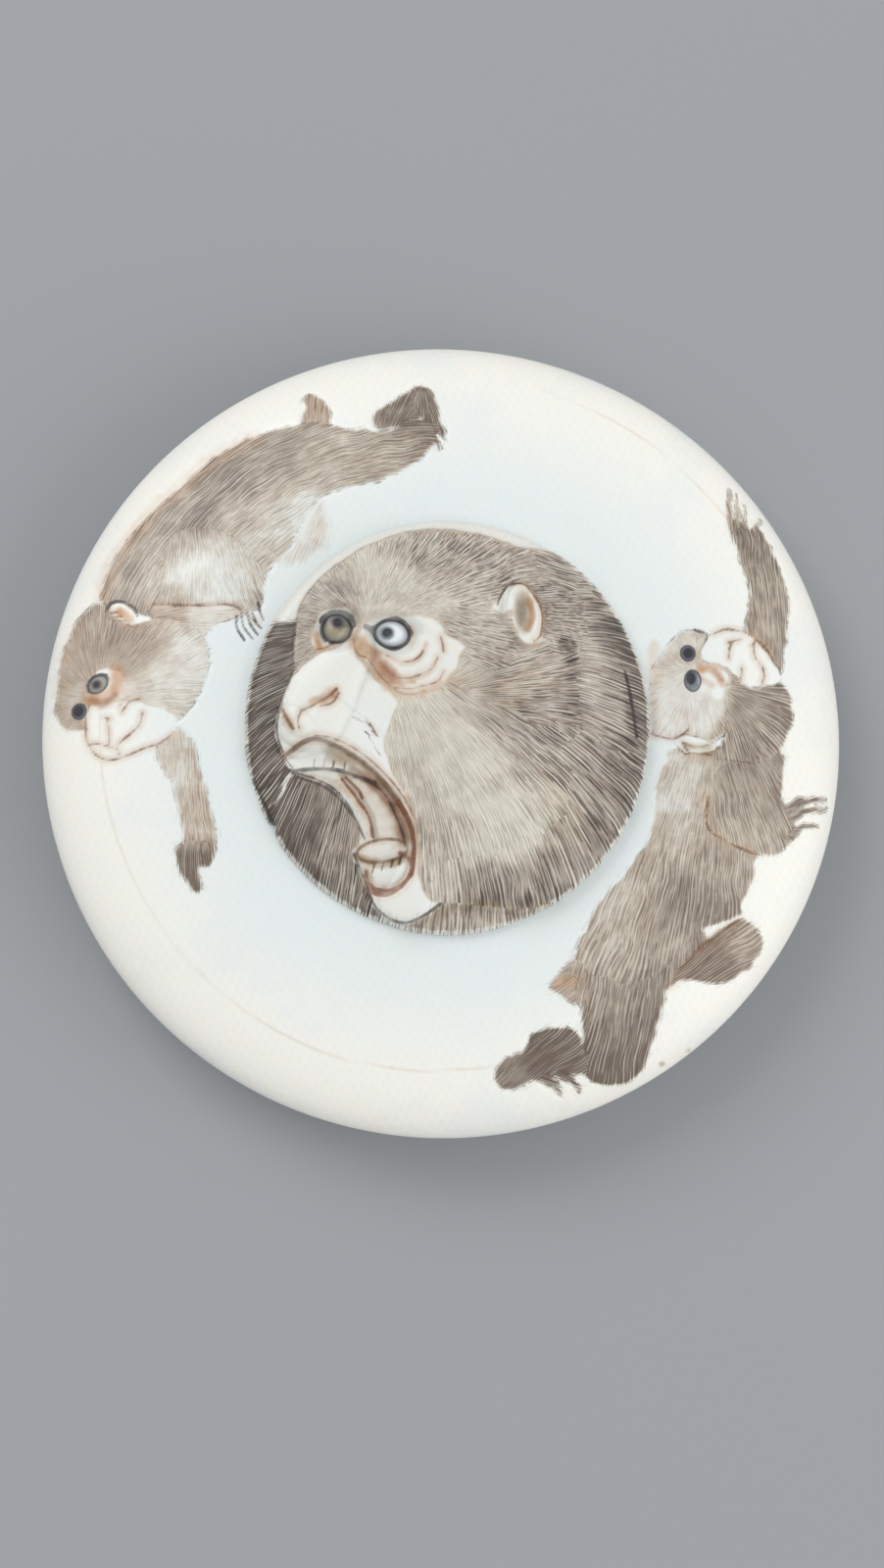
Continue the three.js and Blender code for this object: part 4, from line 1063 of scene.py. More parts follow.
class Sheet:
    """A node tree that is filled from left to right."""

    def __init__(self, tree: bpy.types.NodeTree) -> None:
        """Start on the given tree."""
        self.tree = tree
        self.count = 0

    def add(self, kind: str, **settings: object) -> bpy.types.Node:
        """Add a node.

        Args:
            kind: Blender's name of the node type.
            **settings: Properties to set on it.

        Returns:
            The node.
        """
        node = self.tree.nodes.new(kind)
        node.location = (190 * (self.count // 5), -180 * (self.count % 5))
        self.count += 1
        for key, value in settings.items():
            setattr(node, key, value)
        return node

    def feed(self, socket: bpy.types.NodeSocket, value: object) -> None:
        """Link a socket to another one, or set its value.

        Args:
            socket: The socket to feed.
            value: Another socket, or a plain value.
        """
        if isinstance(value, bpy.types.NodeSocket):
            self.tree.links.new(value, socket)
        else:
            socket.default_value = value

    def math(self, operation: str, *values: object, clamp: bool = False) -> bpy.types.NodeSocket:
        """Add a Math node.

        Args:
            operation: Blender's name of the operation.
            *values: What feeds its inputs, in order.
            clamp: Whether the result is kept between 0 and 1.

        Returns:
            The result.
        """
        node = self.add("ShaderNodeMath", operation=operation, use_clamp=clamp)
        for socket, value in zip(node.inputs, values):
            self.feed(socket, value)
        return node.outputs[0]

    def ease(self, value: object, low: object, high: object) -> bpy.types.NodeSocket:
        """Ease from 0 at low to 1 at high.

        Args:
            value: The value to ease.
            low: Where the result starts to rise.
            high: Where it reaches 1.

        Returns:
            The eased value.
        """
        node = self.add("ShaderNodeMapRange", interpolation_type="SMOOTHSTEP")
        for key, fed in (("Value", value), ("From Min", low), ("From Max", high)):
            self.feed(node.inputs[key], fed)
        return node.outputs["Result"]

    def blend(self, factor: object, first: object, second: object) -> bpy.types.NodeSocket:
        """Mix two colours.

        Args:
            factor: The share of the second colour.
            first: The first colour.
            second: The second colour.

        Returns:
            The mixed colour.
        """
        node = self.add("ShaderNodeMix", data_type="RGBA")
        colours = [socket for socket in node.inputs if socket.type == "RGBA"]
        self.feed(node.inputs["Factor"], factor)
        self.feed(colours[0], first)
        self.feed(colours[1], second)
        return next(socket for socket in node.outputs if socket.type == "RGBA")

    def split(self, vector: bpy.types.NodeSocket) -> list[bpy.types.NodeSocket]:
        """Split a vector into its three values.

        Args:
            vector: The vector.

        Returns:
            The three values.
        """
        node = self.add("ShaderNodeSeparateXYZ")
        self.feed(node.inputs[0], vector)
        return list(node.outputs)

    def dice(self, *values: object) -> list[bpy.types.NodeSocket]:
        """Throw three even random values for a set of three numbers.

        Args:
            *values: The three numbers.

        Returns:
            The random values, the same each time for the same numbers.
        """
        place = self.add("ShaderNodeCombineXYZ")
        for socket, value in zip(place.inputs, values):
            self.feed(socket, value)
        thrown = self.add("ShaderNodeTexWhiteNoise", noise_dimensions="3D")
        self.feed(thrown.inputs["Vector"], place.outputs[0])
        colour = self.add("ShaderNodeSeparateColor")
        self.feed(colour.inputs[0], thrown.outputs["Color"])
        return list(colour.outputs)

    def noise(self, place: bpy.types.NodeSocket, scale: float, detail: float) -> bpy.types.NodeSocket:
        """Add cloudy noise.

        Args:
            place: Where it is read.
            scale: Its scale.
            detail: How many finer layers it has.

        Returns:
            The noise, between 0 and 1.
        """
        node = self.add("ShaderNodeTexNoise")
        for key, value in (("Scale", scale), ("Detail", detail), ("Roughness", CLOUD_ROUGHNESS)):
            node.inputs[key].default_value = value
        self.feed(node.inputs["Vector"], place)
        return node.outputs["Fac"]

    def attribute(self, name: str) -> bpy.types.NodeSocket:
        """Read a vector that the mesh keeps."""
        return self.add("ShaderNodeAttribute", attribute_name=name).outputs["Vector"]

    def group(self, tree: bpy.types.NodeTree, **values: object) -> bpy.types.Node:
        """Place a node group.

        Args:
            tree: The group.
            **values: What feeds its inputs, by name, with _ for a space.

        Returns:
            The group's node.
        """
        node = self.add("ShaderNodeGroup", node_tree=tree)
        for key, value in values.items():
            self.feed(node.inputs[key.replace("_", " ")], value)
        return node


def new_group(name: str, inputs: dict[str, str], outputs: dict[str, str]) -> tuple[Sheet, dict, dict]:
    """Start a shader node group.

    Args:
        name: Name of the group.
        inputs: Socket type of each input.
        outputs: Socket type of each output.

    Returns:
        The sheet, the sockets that give the inputs, and those that take the outputs.
    """
    tree = bpy.data.node_groups.new(name, "ShaderNodeTree")
    for key, kind in inputs.items():
        tree.interface.new_socket(key, in_out="INPUT", socket_type=kind)
    for key, kind in outputs.items():
        tree.interface.new_socket(key, in_out="OUTPUT", socket_type=kind)
    sheet = Sheet(tree)
    given = sheet.add("NodeGroupInput").outputs
    taken = sheet.add("NodeGroupOutput").inputs
    return sheet, {key: given[key] for key in inputs}, {key: taken[key] for key in outputs}


FLOAT = "NodeSocketFloat"
VECTOR = "NodeSocketVector"
COLOUR = "NodeSocketColor"


@dataclass(frozen=True)
class StrokeShape:
    """How single strokes are cut: pairs are a spread and a least value, or a start and an end."""

    scatter: float = 7.0
    half_length: tuple[float, float] = (0.22, 0.28)
    taper_power: float = 2.0
    wander: float = 0.3
    width: tuple[float, float] = (0.5, 0.7)
    side: tuple[float, float] = (-0.09, 0.1)
    octave: tuple[float, float] = (0.3, 0.8)
    early_end: float = -0.7
    border: tuple[float, float] = (0.05, 0.2)
    tip: tuple[float, float] = (0.0, 0.5)
    strength: tuple[float, float] = (0.4, 0.6)


def stroke_group(shape: StrokeShape) -> bpy.types.NodeTree:
    """Build the group that draws tapered strokes, combed as the mesh says.

    Args:
        shape: How single strokes are cut.

    Returns:
        The group, with the strokes' strength as its output.
    """
    sheet, given, taken = new_group(
        "Combed strokes",
        {"Comb": VECTOR, "Cover": FLOAT, "Octave": FLOAT, "Fineness": FLOAT, "Shortness": FLOAT,
         "Width": FLOAT, "Seed": FLOAT},
        {"Strength": FLOAT})
    along, across, level = sheet.split(given["Comb"])
    across = sheet.math("MULTIPLY_ADD", across, given["Fineness"], given["Seed"])
    strand = sheet.math("FLOOR", across)
    off = sheet.math("SUBTRACT", sheet.math("FRACT", across), 0.5)
    lag, ending, _ = sheet.dice(strand, given["Seed"], 0.5)
    cell = sheet.math("MULTIPLY", along, given["Shortness"])
    cell = sheet.math("MULTIPLY_ADD", lag, shape.scatter, cell)
    bold, reach, nudge = sheet.dice(strand, sheet.math("FLOOR", cell), given["Seed"])
    share = sheet.math("SUBTRACT", sheet.math("FRACT", cell), 0.5)
    half = sheet.math("MULTIPLY_ADD", reach, *shape.half_length)
    taper = sheet.math("POWER", sheet.math("DIVIDE", share, half), shape.taper_power)
    taper = sheet.math("SUBTRACT", 1.0, taper, clamp=True)
    off = sheet.math("MULTIPLY_ADD", sheet.math("SUBTRACT", nudge, 0.5), shape.wander, off)
    width = sheet.math("MULTIPLY", given["Width"], sheet.math("MULTIPLY_ADD", bold, *shape.width))
    width = sheet.math("MULTIPLY", width, sheet.math("SQRT", taper))
    line = sheet.ease(sheet.math("SUBTRACT", width, sheet.math("ABSOLUTE", off)), *shape.side)
    near = sheet.math("ABSOLUTE", sheet.math("SUBTRACT", level, given["Octave"]))
    seen = sheet.math("SUBTRACT", 1.0, sheet.ease(near, *shape.octave))
    ends = sheet.math("MULTIPLY_ADD", ending, shape.early_end, given["Cover"])
    seen = sheet.math("MULTIPLY", seen, sheet.ease(ends, *shape.border))
    line = sheet.math("MULTIPLY", line, sheet.math("MULTIPLY", seen, sheet.ease(taper, *shape.tip)))
    strength = sheet.math("MULTIPLY_ADD", bold, *shape.strength)
    sheet.feed(taken["Strength"], sheet.math("MULTIPLY", line, strength))
    return sheet.tree


@dataclass(frozen=True)
class GrainAndPaintedLight:
    """The ivory's look: where its painted light turns from a bluish heart to a warm rim glow, its own crossed
    waves and its soft clouds.
    """

    # Where the painted light turns from the heart's bluish sky reflection to the rim's warm glow, in shares
    # of the radius
    warm: tuple[float, float] = (0.55, 0.98)
    angles: tuple[float, float] = (0.45, 2.5)
    wave_scale: float = 620.0
    wave_distortion: float = 1.6
    wave_detail_scale: float = 0.6
    cloud: tuple[float, float] = (160.0, 4.0)
    cloud_edge: tuple[float, float] = (0.48, 0.66)
    cloud_strength: float = 0.4
    faintness: float = 0.16
    height: float = 0.12


def grain_and_painted_light_group(look: GrainAndPaintedLight) -> bpy.types.NodeTree:
    """Build the group for the ivory's look: painted light from a bluish heart to a warm rim, a pale crossed
    grain and soft clouds.

    Args:
        look: Its values.

    Returns:
        The group, with a colour and a height as its outputs.
    """
    sheet, given, taken = new_group(
        "Ivory grain and painted light", {"Place": VECTOR, "Heart": COLOUR, "Rim": COLOUR},
        {"Color": COLOUR, "Height": FLOAT})
    reach = sheet.add("ShaderNodeVectorMath", operation="LENGTH")
    flat = sheet.add("ShaderNodeVectorMath", operation="MULTIPLY")
    flat.inputs[1].default_value = (1.0, 1.0, 0.0)
    sheet.feed(flat.inputs[0], given["Place"])
    sheet.feed(reach.inputs[0], flat.outputs[0])
    share = sheet.math("DIVIDE", reach.outputs["Value"], RADIUS * METRES)
    # Painted light: towards the disc's edge, the heart's bluish sky reflection gives way to the rim's warm
    # glow
    warm = sheet.ease(share, *look.warm)
    waves = []
    for angle in look.angles:
        turned = sheet.add("ShaderNodeMapping")
        turned.inputs["Rotation"].default_value = (0.0, 0.0, angle)
        sheet.feed(turned.inputs["Vector"], given["Place"])
        wave = sheet.add("ShaderNodeTexWave", wave_type="BANDS")
        for key, value in (("Scale", look.wave_scale), ("Distortion", look.wave_distortion), ("Detail", 1.0),
                           ("Detail Scale", look.wave_detail_scale)):
            wave.inputs[key].default_value = value
        sheet.feed(wave.inputs["Vector"], turned.outputs[0])
        waves.append(wave.outputs["Fac"])
    crossed = sheet.math("MULTIPLY", waves[0], waves[1])
    cloud = sheet.noise(given["Place"], *look.cloud)
    # Painted light: the heart colour carries a painted sky reflection and the rim colour a painted warm glow
    base = sheet.blend(warm, given["Heart"], given["Rim"])
    faint = sheet.math("MULTIPLY", crossed, sheet.math("MULTIPLY", cloud, look.faintness))
    base = sheet.blend(faint, base, (0.62, 0.62, 0.58, 1.0))
    misty = sheet.math("MULTIPLY", sheet.ease(cloud, *look.cloud_edge), look.cloud_strength)
    base = sheet.blend(misty, base, linear(230, 236, 237))
    sheet.feed(taken["Color"], base)
    sheet.feed(taken["Height"], sheet.math("MULTIPLY", crossed, look.height))
    return sheet.tree


def linear(red: int, green: int, blue: int) -> tuple[float, float, float, float]:
    """Turn a colour of 0 to 255 as seen on a screen into the renderer's values.

    Args:
        red: Red.
        green: Green.
        blue: Blue.

    Returns:
        The renderer's four values.
    """
    values = []
    for part in (red, green, blue):
        share = part / 255
        values.append(share / 12.92 if share <= 0.04045 else ((share + 0.055) / 1.055) ** 2.4)
    return values[0], values[1], values[2], 1.0


@dataclass(frozen=True)
class Layer:
    """One layer of strokes: how fine, short and wide they are."""

    octave: float
    fineness: float
    shortness: float
    width: float
    seed: float


# Scale and detail of the noise in the finish
FINE_NOISE = (900.0, 3.0)
BROAD_NOISE = (330.0, 3.0)

# Where parts of the finish fade in, from start to end
UNEVEN = (0.25, 0.7)
MIDDLE_TONE = (0.0, 0.5)
DEEP_TONE = (0.35, 1.0)
COVER = (0.1, 0.75)
CLEARING = (0.0, 0.42)
SCRATCH_COVER = (0.3, 1.0)
LINE_SIDE = (-0.04, 0.06)

# How fine and broad noise change the tone, and how far pale strokes break the cover
FINE_CHANGE = 0.16
BROAD_CHANGE = 0.36
BREAK = -0.35

POLISH = (("Roughness", 0.4), ("IOR", 1.5), ("Subsurface Weight", 0.3), ("Subsurface Scale", 0.0009),
          ("Subsurface Radius", (1.0, 0.6, 0.35)), ("Coat Weight", 0.1), ("Coat Roughness", 0.25))
BUMP = (("Strength", 0.45), ("Distance", 0.00004))

DARK_LAYERS = (Layer(0.0, 1.0, 1.0, 0.2, 3.0), Layer(-1.0, 0.5, 1.2, 0.2, 11.0),
               Layer(0.0, 1.7, 2.2, 0.22, 23.0), Layer(-1.0, 0.87, 2.4, 0.22, 31.0))
PALE_LAYERS = (Layer(0.0, 1.31, 0.6, 0.17, 47.0), Layer(-1.0, 0.67, 0.7, 0.17, 59.0))


@dataclass(frozen=True)
class EngravedIvory:
    """Polished ivory with stained engraving."""

    name: str
    # heart and rim are painted light: a bluish sky reflection at the middle of the disc and a warm glow at
    # its rim
    heart: tuple[float, ...] = linear(231, 237, 235)
    rim: tuple[float, ...] = linear(251, 248, 238)
    pale_fur: tuple[float, ...] = linear(216, 210, 194)
    middle_fur: tuple[float, ...] = linear(188, 175, 160)
    deep_fur: tuple[float, ...] = linear(101, 88, 79)
    stroke: tuple[float, ...] = linear(64, 55, 49)
    scratch: tuple[float, ...] = linear(238, 235, 224)
    tan: tuple[float, ...] = linear(200, 154, 110)
    red: tuple[float, ...] = linear(142, 88, 60)
    khaki: tuple[float, ...] = linear(166, 142, 106)
    dark_line: tuple[float, ...] = linear(50, 42, 40)
    brown_line: tuple[float, ...] = linear(104, 78, 58)
    red_line: tuple[float, ...] = linear(128, 70, 46)
    press: float = 0.18
    bite: float = 1.2
    clear: float = 0.0
    streaks: float = 0.72
    fineness: float = 1.0
    shortness: float = 1.0

    def make(self, strokes: bpy.types.NodeTree, grain: bpy.types.NodeTree) -> bpy.types.Material:
        """Build the material.

        Args:
            strokes: The group that draws combed strokes.
            grain: The group for the ivory's own look.

        Returns:
            The material.
        """
        material = bpy.data.materials.new(self.name)
        material.use_nodes = True
        material.node_tree.nodes.clear()
        sheet = Sheet(material.node_tree)
        place = sheet.add("ShaderNodeTexCoord").outputs["Object"]
        comb = sheet.attribute("comb")
        wash, hatch, dark = sheet.split(sheet.attribute("tone"))
        tan, red, khaki = sheet.split(sheet.attribute("stain"))
        dark_gap, brown_gap, red_gap = sheet.split(sheet.attribute("lines"))
        rim, pupil, blue = sheet.split(sheet.attribute("eyes"))
        # The ivory's colour, with its painted light from heart to rim
        ivory = sheet.group(grain, Place=place, Heart=self.heart, Rim=self.rim)
        inked, pale = (
            self.layered(sheet, strokes, comb, hatch, layers) for layers in (DARK_LAYERS, PALE_LAYERS))
        uneven = sheet.ease(sheet.noise(place, *FINE_NOISE), *UNEVEN)
        broad = sheet.math("SUBTRACT", sheet.noise(place, *BROAD_NOISE), 0.5)
        deep = sheet.math("MULTIPLY_ADD", sheet.math("SUBTRACT", uneven, 0.5), FINE_CHANGE, dark)
        deep = sheet.math("MULTIPLY_ADD", broad, BROAD_CHANGE, deep)
        fur = sheet.blend(sheet.ease(deep, *MIDDLE_TONE), self.pale_fur, self.middle_fur)
        fur = sheet.blend(sheet.ease(deep, *DEEP_TONE), fur, self.deep_fur)
        broken = sheet.math("MULTIPLY_ADD", pale, BREAK, wash)
        cover = sheet.ease(broken, *COVER)
        thin = sheet.math("MULTIPLY_ADD", sheet.ease(deep, *CLEARING), self.clear, 1.0 - self.clear)
        cover = sheet.math("MULTIPLY", cover, thin)
        colour = sheet.blend(cover, ivory.outputs["Color"], fur)
        for amount, shade in ((tan, self.tan), (khaki, self.khaki), (red, self.red)):
            ragged = sheet.math("MULTIPLY", amount, sheet.math("MULTIPLY_ADD", uneven, 0.45, 0.6), clamp=True)
            colour = sheet.blend(ragged, colour, shade)
        press = sheet.math("MULTIPLY_ADD", deep, self.bite, self.press, clamp=True)
        ink = sheet.math("MULTIPLY", inked, press, clamp=True)
        colour = sheet.blend(ink, colour, self.stroke)
        pale = sheet.math("MULTIPLY", pale, self.streaks)
        glow = sheet.math("MULTIPLY", cover, sheet.ease(deep, *SCRATCH_COVER))
        glow = sheet.blend(glow, self.scratch, self.pale_fur)
        colour = sheet.blend(pale, colour, glow)
        for gap, shade, strength in ((brown_gap, self.brown_line, 0.85), (red_gap, self.red_line, 0.85),
                                     (dark_gap, self.dark_line, 0.9)):
            rough = sheet.math("MULTIPLY_ADD", sheet.math("SUBTRACT", uneven, 0.5), -0.05, gap)
            line = sheet.math("SUBTRACT", 1.0, sheet.ease(rough, *LINE_SIDE))
            line = sheet.math("MULTIPLY", line, sheet.math("MULTIPLY_ADD", uneven, 0.4, 0.6))
            colour = sheet.blend(sheet.math("MULTIPLY", line, strength), colour, shade)
        colour = self.eye(sheet, colour, uneven, rim, pupil, blue)
        shader = sheet.add("ShaderNodeBsdfPrincipled")
        for key, value in POLISH:
            shader.inputs[key].default_value = value
        sheet.feed(shader.inputs["Base Color"], colour)
        height = sheet.math("SUBTRACT", ivory.outputs["Height"], sheet.math("MULTIPLY", ink, 0.8))
        height = sheet.math("SUBTRACT", height, sheet.math("MULTIPLY", pale, 0.4))
        bump = sheet.add("ShaderNodeBump")
        for key, value in BUMP:
            bump.inputs[key].default_value = value
        sheet.feed(bump.inputs["Height"], height)
        sheet.feed(shader.inputs["Normal"], bump.outputs[0])
        output = sheet.add("ShaderNodeOutputMaterial")
        sheet.feed(output.inputs["Surface"], shader.outputs[0])
        return material

    def layered(self, sheet: Sheet, strokes: bpy.types.NodeTree, comb: bpy.types.NodeSocket,
                hatch: bpy.types.NodeSocket, layers: tuple[Layer, ...]) -> bpy.types.NodeSocket:
        """Lay several layers of strokes over each other.

        Args:
            sheet: The sheet to draw on.
            strokes: The group that draws combed strokes.
            comb: How the fur is combed.
            hatch: Where there are strokes.
            layers: The layers.

        Returns:
            The strength of the strongest stroke.
        """
        total: object = 0.0
        for layer in layers:
            drawn = sheet.group(strokes, Comb=comb, Cover=hatch, Octave=layer.octave,
                                Fineness=layer.fineness * self.fineness,
                                Shortness=layer.shortness * self.shortness, Width=layer.width,
                                Seed=layer.seed)
            total = sheet.math("MAXIMUM", total, drawn.outputs["Strength"])
        return total

    @staticmethod
    def eye(sheet: Sheet, colour: bpy.types.NodeSocket, uneven: bpy.types.NodeSocket,
            rim: bpy.types.NodeSocket, pupil: bpy.types.NodeSocket,
            blue: bpy.types.NodeSocket) -> bpy.types.NodeSocket:
        """Paint the eyes over a colour, each eyeball with painted shade towards its rim.

        Args:
            sheet: The sheet to draw on.
            colour: The colour so far.
            uneven: Fine noise.
            rim: Share of the way from an eye's middle to its rim.
            pupil: The same for its pupil.
            blue: 0 for a brown eye and 1 for a blue-grey one.

        Returns:
            The new colour.
        """
        white = sheet.blend(blue, linear(164, 154, 130), linear(232, 237, 241))
        iris = sheet.blend(blue, linear(112, 104, 92), linear(120, 127, 136))
        wide = sheet.math("MULTIPLY_ADD", uneven, 0.5, pupil)
        ball = sheet.blend(sheet.math("SUBTRACT", 1.0, sheet.ease(wide, 1.5, 2.3)), white, iris)
        # Painted shade: each eyeball greys towards its rim
        painted_rim_shade = sheet.math("MULTIPLY", sheet.ease(rim, 0.45, 0.95), 0.75)
        ball = sheet.blend(painted_rim_shade, ball, linear(104, 106, 110))
        colour = sheet.blend(sheet.math("SUBTRACT", 1.0, sheet.ease(rim, 0.94, 1.04)), colour, ball)
        ring = sheet.math("SUBTRACT", 1.0, sheet.ease(rim, 1.0, 1.14))
        ring = sheet.math("MULTIPLY", sheet.ease(rim, 0.82, 0.94), ring)
        ring = sheet.math("MULTIPLY", ring, sheet.math("MULTIPLY_ADD", uneven, 0.4, 0.5))
        colour = sheet.blend(ring, colour, linear(44, 44, 48))
        dot = sheet.math("SUBTRACT", 1.0, sheet.ease(pupil, 0.7, 1.2))
        return sheet.blend(sheet.math("MULTIPLY", dot, 0.95), colour, linear(38, 38, 44))


@dataclass
class Roundel:
    """The raised roundel, carved as a shouting monkey's head."""

    side: int = 300
    rise: float = 1.25
    wall_share: float = 0.6
    shoulder_share: float = 0.4
    shoulder: float = 0.8
    foot_depth: float = 1.2
    notch_turn: float = -149.0
    notch_depth: float = 0.35
    notch_half_width: float = 0.4
    waves: float = 6.0
    tooth_depth: float = 0.045
    outer: float = 0.9
    pull_power: int = 14
    bare_edge: tuple[float, float] = (0.97, 0.992)
    bare_share: float = 0.75
    edge_tan: float = 0.14
    swell: float = 0.45
    drop: float = 0.4
    step: float = 0.25
    stroke_depth: float = 0.025
    lock_depth: float = 0.1
    lock_count: int = 30
    lock_centre: tuple[float, float] = (-20.0, 30.0)
    lock_noise: tuple[float, float, int] = (0.5, 2.0, 71)
    lock_growth: tuple[float, float] = (0.5, 0.9)
    lock_inset: float = 0.2
    socket_depth: float = 0.45
    socket: tuple[float, float] = (1.0, 1.9)
    pupil_depth: float = 0.08
    pupil: tuple[float, float] = (0.6, 1.2)
    ear_rise: float = 0.55
    ear_depth: float = 0.45
    mouth_depth: float = 0.75
    teeth_depth: float = 0.3
    tongue_depth: float = 0.45
    tongue_hollow: float = 0.25
    lip_slope: float = 0.3
    lip_reach: float = 0.4
    lip_groove: tuple[float, float] = (0.12, 0.2)

    @property
    def patches(self) -> tuple[Patch, ...]:
        """All patches of the head and of what lies behind it."""
        return HEAD_PATCHES + BACKGROUND_PATCHES

    def places(self) -> tuple[Array, Array, Array]:
        """Spread places evenly over the roundel.

        Returns:
            X and Y of each place, and its share of the way out to the edge.
        """
        line = np.linspace(-1.0, 1.0, self.side)
        a, b = (part.ravel() for part in np.meshgrid(line, line, indexing="ij"))
        wide = np.abs(a) > np.abs(b)
        out = np.where(wide, a, b)
        safe_a, safe_b = (np.where(np.abs(part) < 1e-9, 1e-9, part) for part in (a, b))
        angle = np.where(wide, b / safe_a, 2.0 - a / safe_b) * math.pi / 4
        x = HEAD_HALF_WIDTH * out * np.cos(angle)
        y = HEAD_HALF_HEIGHT * out * np.sin(angle)
        share = np.hypot(x / HEAD_HALF_WIDTH, y / HEAD_HALF_HEIGHT)
        turn = np.arctan2(y, x)
        away = np.abs(turn - math.radians(self.notch_turn)) * HEAD_HALF_WIDTH
        notch = self.notch_depth * np.clip(1.0 - away / self.notch_half_width, 0.0, 1.0)
        uneven = ROUNDEL_OUTLINE_SWAY.shift(self.waves * np.cos(turn), self.waves * np.sin(turn))
        teeth = np.zeros_like(x)
        outer = share > self.outer
        rim_x = x[outer] / share[outer]
        rim_y = y[outer] / share[outer] + HEAD_CENTRE_Y
        comb = comb_places(rim_x, rim_y, self.patches, self.owners(rim_x, rim_y), HEAD_UNIT)
        teeth[outer] = self.tooth_depth * stroke_relief(comb)
        pull = 1.0 - (notch + teeth + uneven) / HEAD_HALF_WIDTH * share**self.pull_power
        return x * pull, y * pull + HEAD_CENTRE_Y, share

    def mouth(self, x: Array, y: Array) -> Array:
        """Cut the open mouth, with its teeth, tongue and lower teeth standing in it.

        Args:
            x: Places along X.
            y: Places along Y.

        Returns:
            How far the mouth cuts in, below zero.
        """
        lip, side = near_line(x, y, spline(LIP_LINE) * HEAD_UNIT)
        lower, lower_side = near_line(x, y, spline(LOWER_LIP_LINE) * HEAD_UNIT)
        inside = np.where(lip < lower, side, lower_side) < 0
        gap = np.minimum(lip, lower)
        teeth, teeth_side = near_line(x, y, spline(TEETH_LINE) * HEAD_UNIT)
        behind = np.where(teeth_side < 0, smooth(teeth, 0.0, self.step), 0.0)
        tongue, tongue_side = near_line(x, y, spline(TONGUE_LINE) * HEAD_UNIT)
        fleshy = np.where(tongue_side < 0, self.tongue_depth, self.mouth_depth)
        fleshy = np.minimum(fleshy, self.mouth_depth - self.tongue_hollow * smooth(tongue, 0.1, 0.5))
        depth = self.teeth_depth + (fleshy - self.teeth_depth) * behind
        for lobe in (UPPER_LOBE, LOWER_LOBE):
            swelling = dome(lobe.share(x, y, HEAD_UNIT))
            raised = self.mouth_depth - (self.mouth_depth - self.teeth_depth) * swelling
            depth = np.minimum(depth, raised)
        slope = self.lip_slope * np.clip(self.lip_reach - gap, 0.0, None)
        cut = -depth * smooth(gap, 0.0, self.step) - slope
        return np.where(inside, cut, groove(gap, *self.lip_groove))

    def height(self, x: Array, y: Array, share: Array, furry: Array) -> Array:
        """Give the carved head's height above the smooth face.

        Args:
            x: Places along X.
            y: Places along Y.
            share: Share of the way out to the edge.
            furry: 1 where fur covers the head.

        Returns:
            The height.
        """
        inset = (1.0 - share) * (HEAD_HALF_WIDTH + HEAD_HALF_HEIGHT) / 2
        shoulder = dome(1.0 - np.clip(inset / self.shoulder, 0.0, 1.0))
        height = self.rise * (self.wall_share + self.shoulder_share * shoulder) + self.swell * dome(share)
        edge, side = near_line(x, y, spline(HEAD_EDGE) * HEAD_UNIT)
        behind = np.where(side > 0, smooth(edge, 0.0, self.step), 0.0)
        height -= self.drop * behind
        on_head = 1.0 - behind
        for form in HEAD_FORMS:
            gap, radius = near_chain(x, y, np.array(form.chain) * HEAD_UNIT)
            near = np.clip(1.0 + gap / radius, 0.0, 1.0)
            lift = np.square(1.0 - near * near) if form.soft else dome(near)
            height += form.swell * lift * on_head
        for eye in HEAD_EYES:
            out = eye.rim.share(x, y, HEAD_UNIT)
            height -= self.socket_depth * (1.0 - smooth(out, *self.socket)) * on_head
            pupil = 1.0 - smooth(eye.pupil.share(x, y, HEAD_UNIT), *self.pupil)
            height += eye.swell * dome(out) - self.pupil_depth * pupil
        dx = x - self.lock_centre[0] * HEAD_UNIT
        dy = y - self.lock_centre[1] * HEAD_UNIT
        turn = np.arctan2(dy, dx) / (2 * math.pi) + 1.0
        sway, cell, seed = self.lock_noise
        wave = np.abs(np.mod(turn * self.lock_count + sway * noise(x, y, cell, seed), 1.0) - 0.5) * 2
        grown = smooth(np.hypot(dx, dy) / HEAD_HALF_WIDTH, *self.lock_growth)
        height -= self.lock_depth * wave * wave * grown * furry * np.clip(inset / self.lock_inset, 0.0, 1.0)
        ear = EAR.share(x, y, HEAD_UNIT)
        hollow = EAR_HOLLOW.share(x, y, HEAD_UNIT)
        ridge = self.ear_rise * smooth(ear, 0.0, 0.75) * (1.0 - smooth(ear, 0.95, 1.2))
        height += ridge - self.ear_depth * (1.0 - smooth(hollow, 0.2, 1.1))
        return height + self.mouth(x, y) * on_head

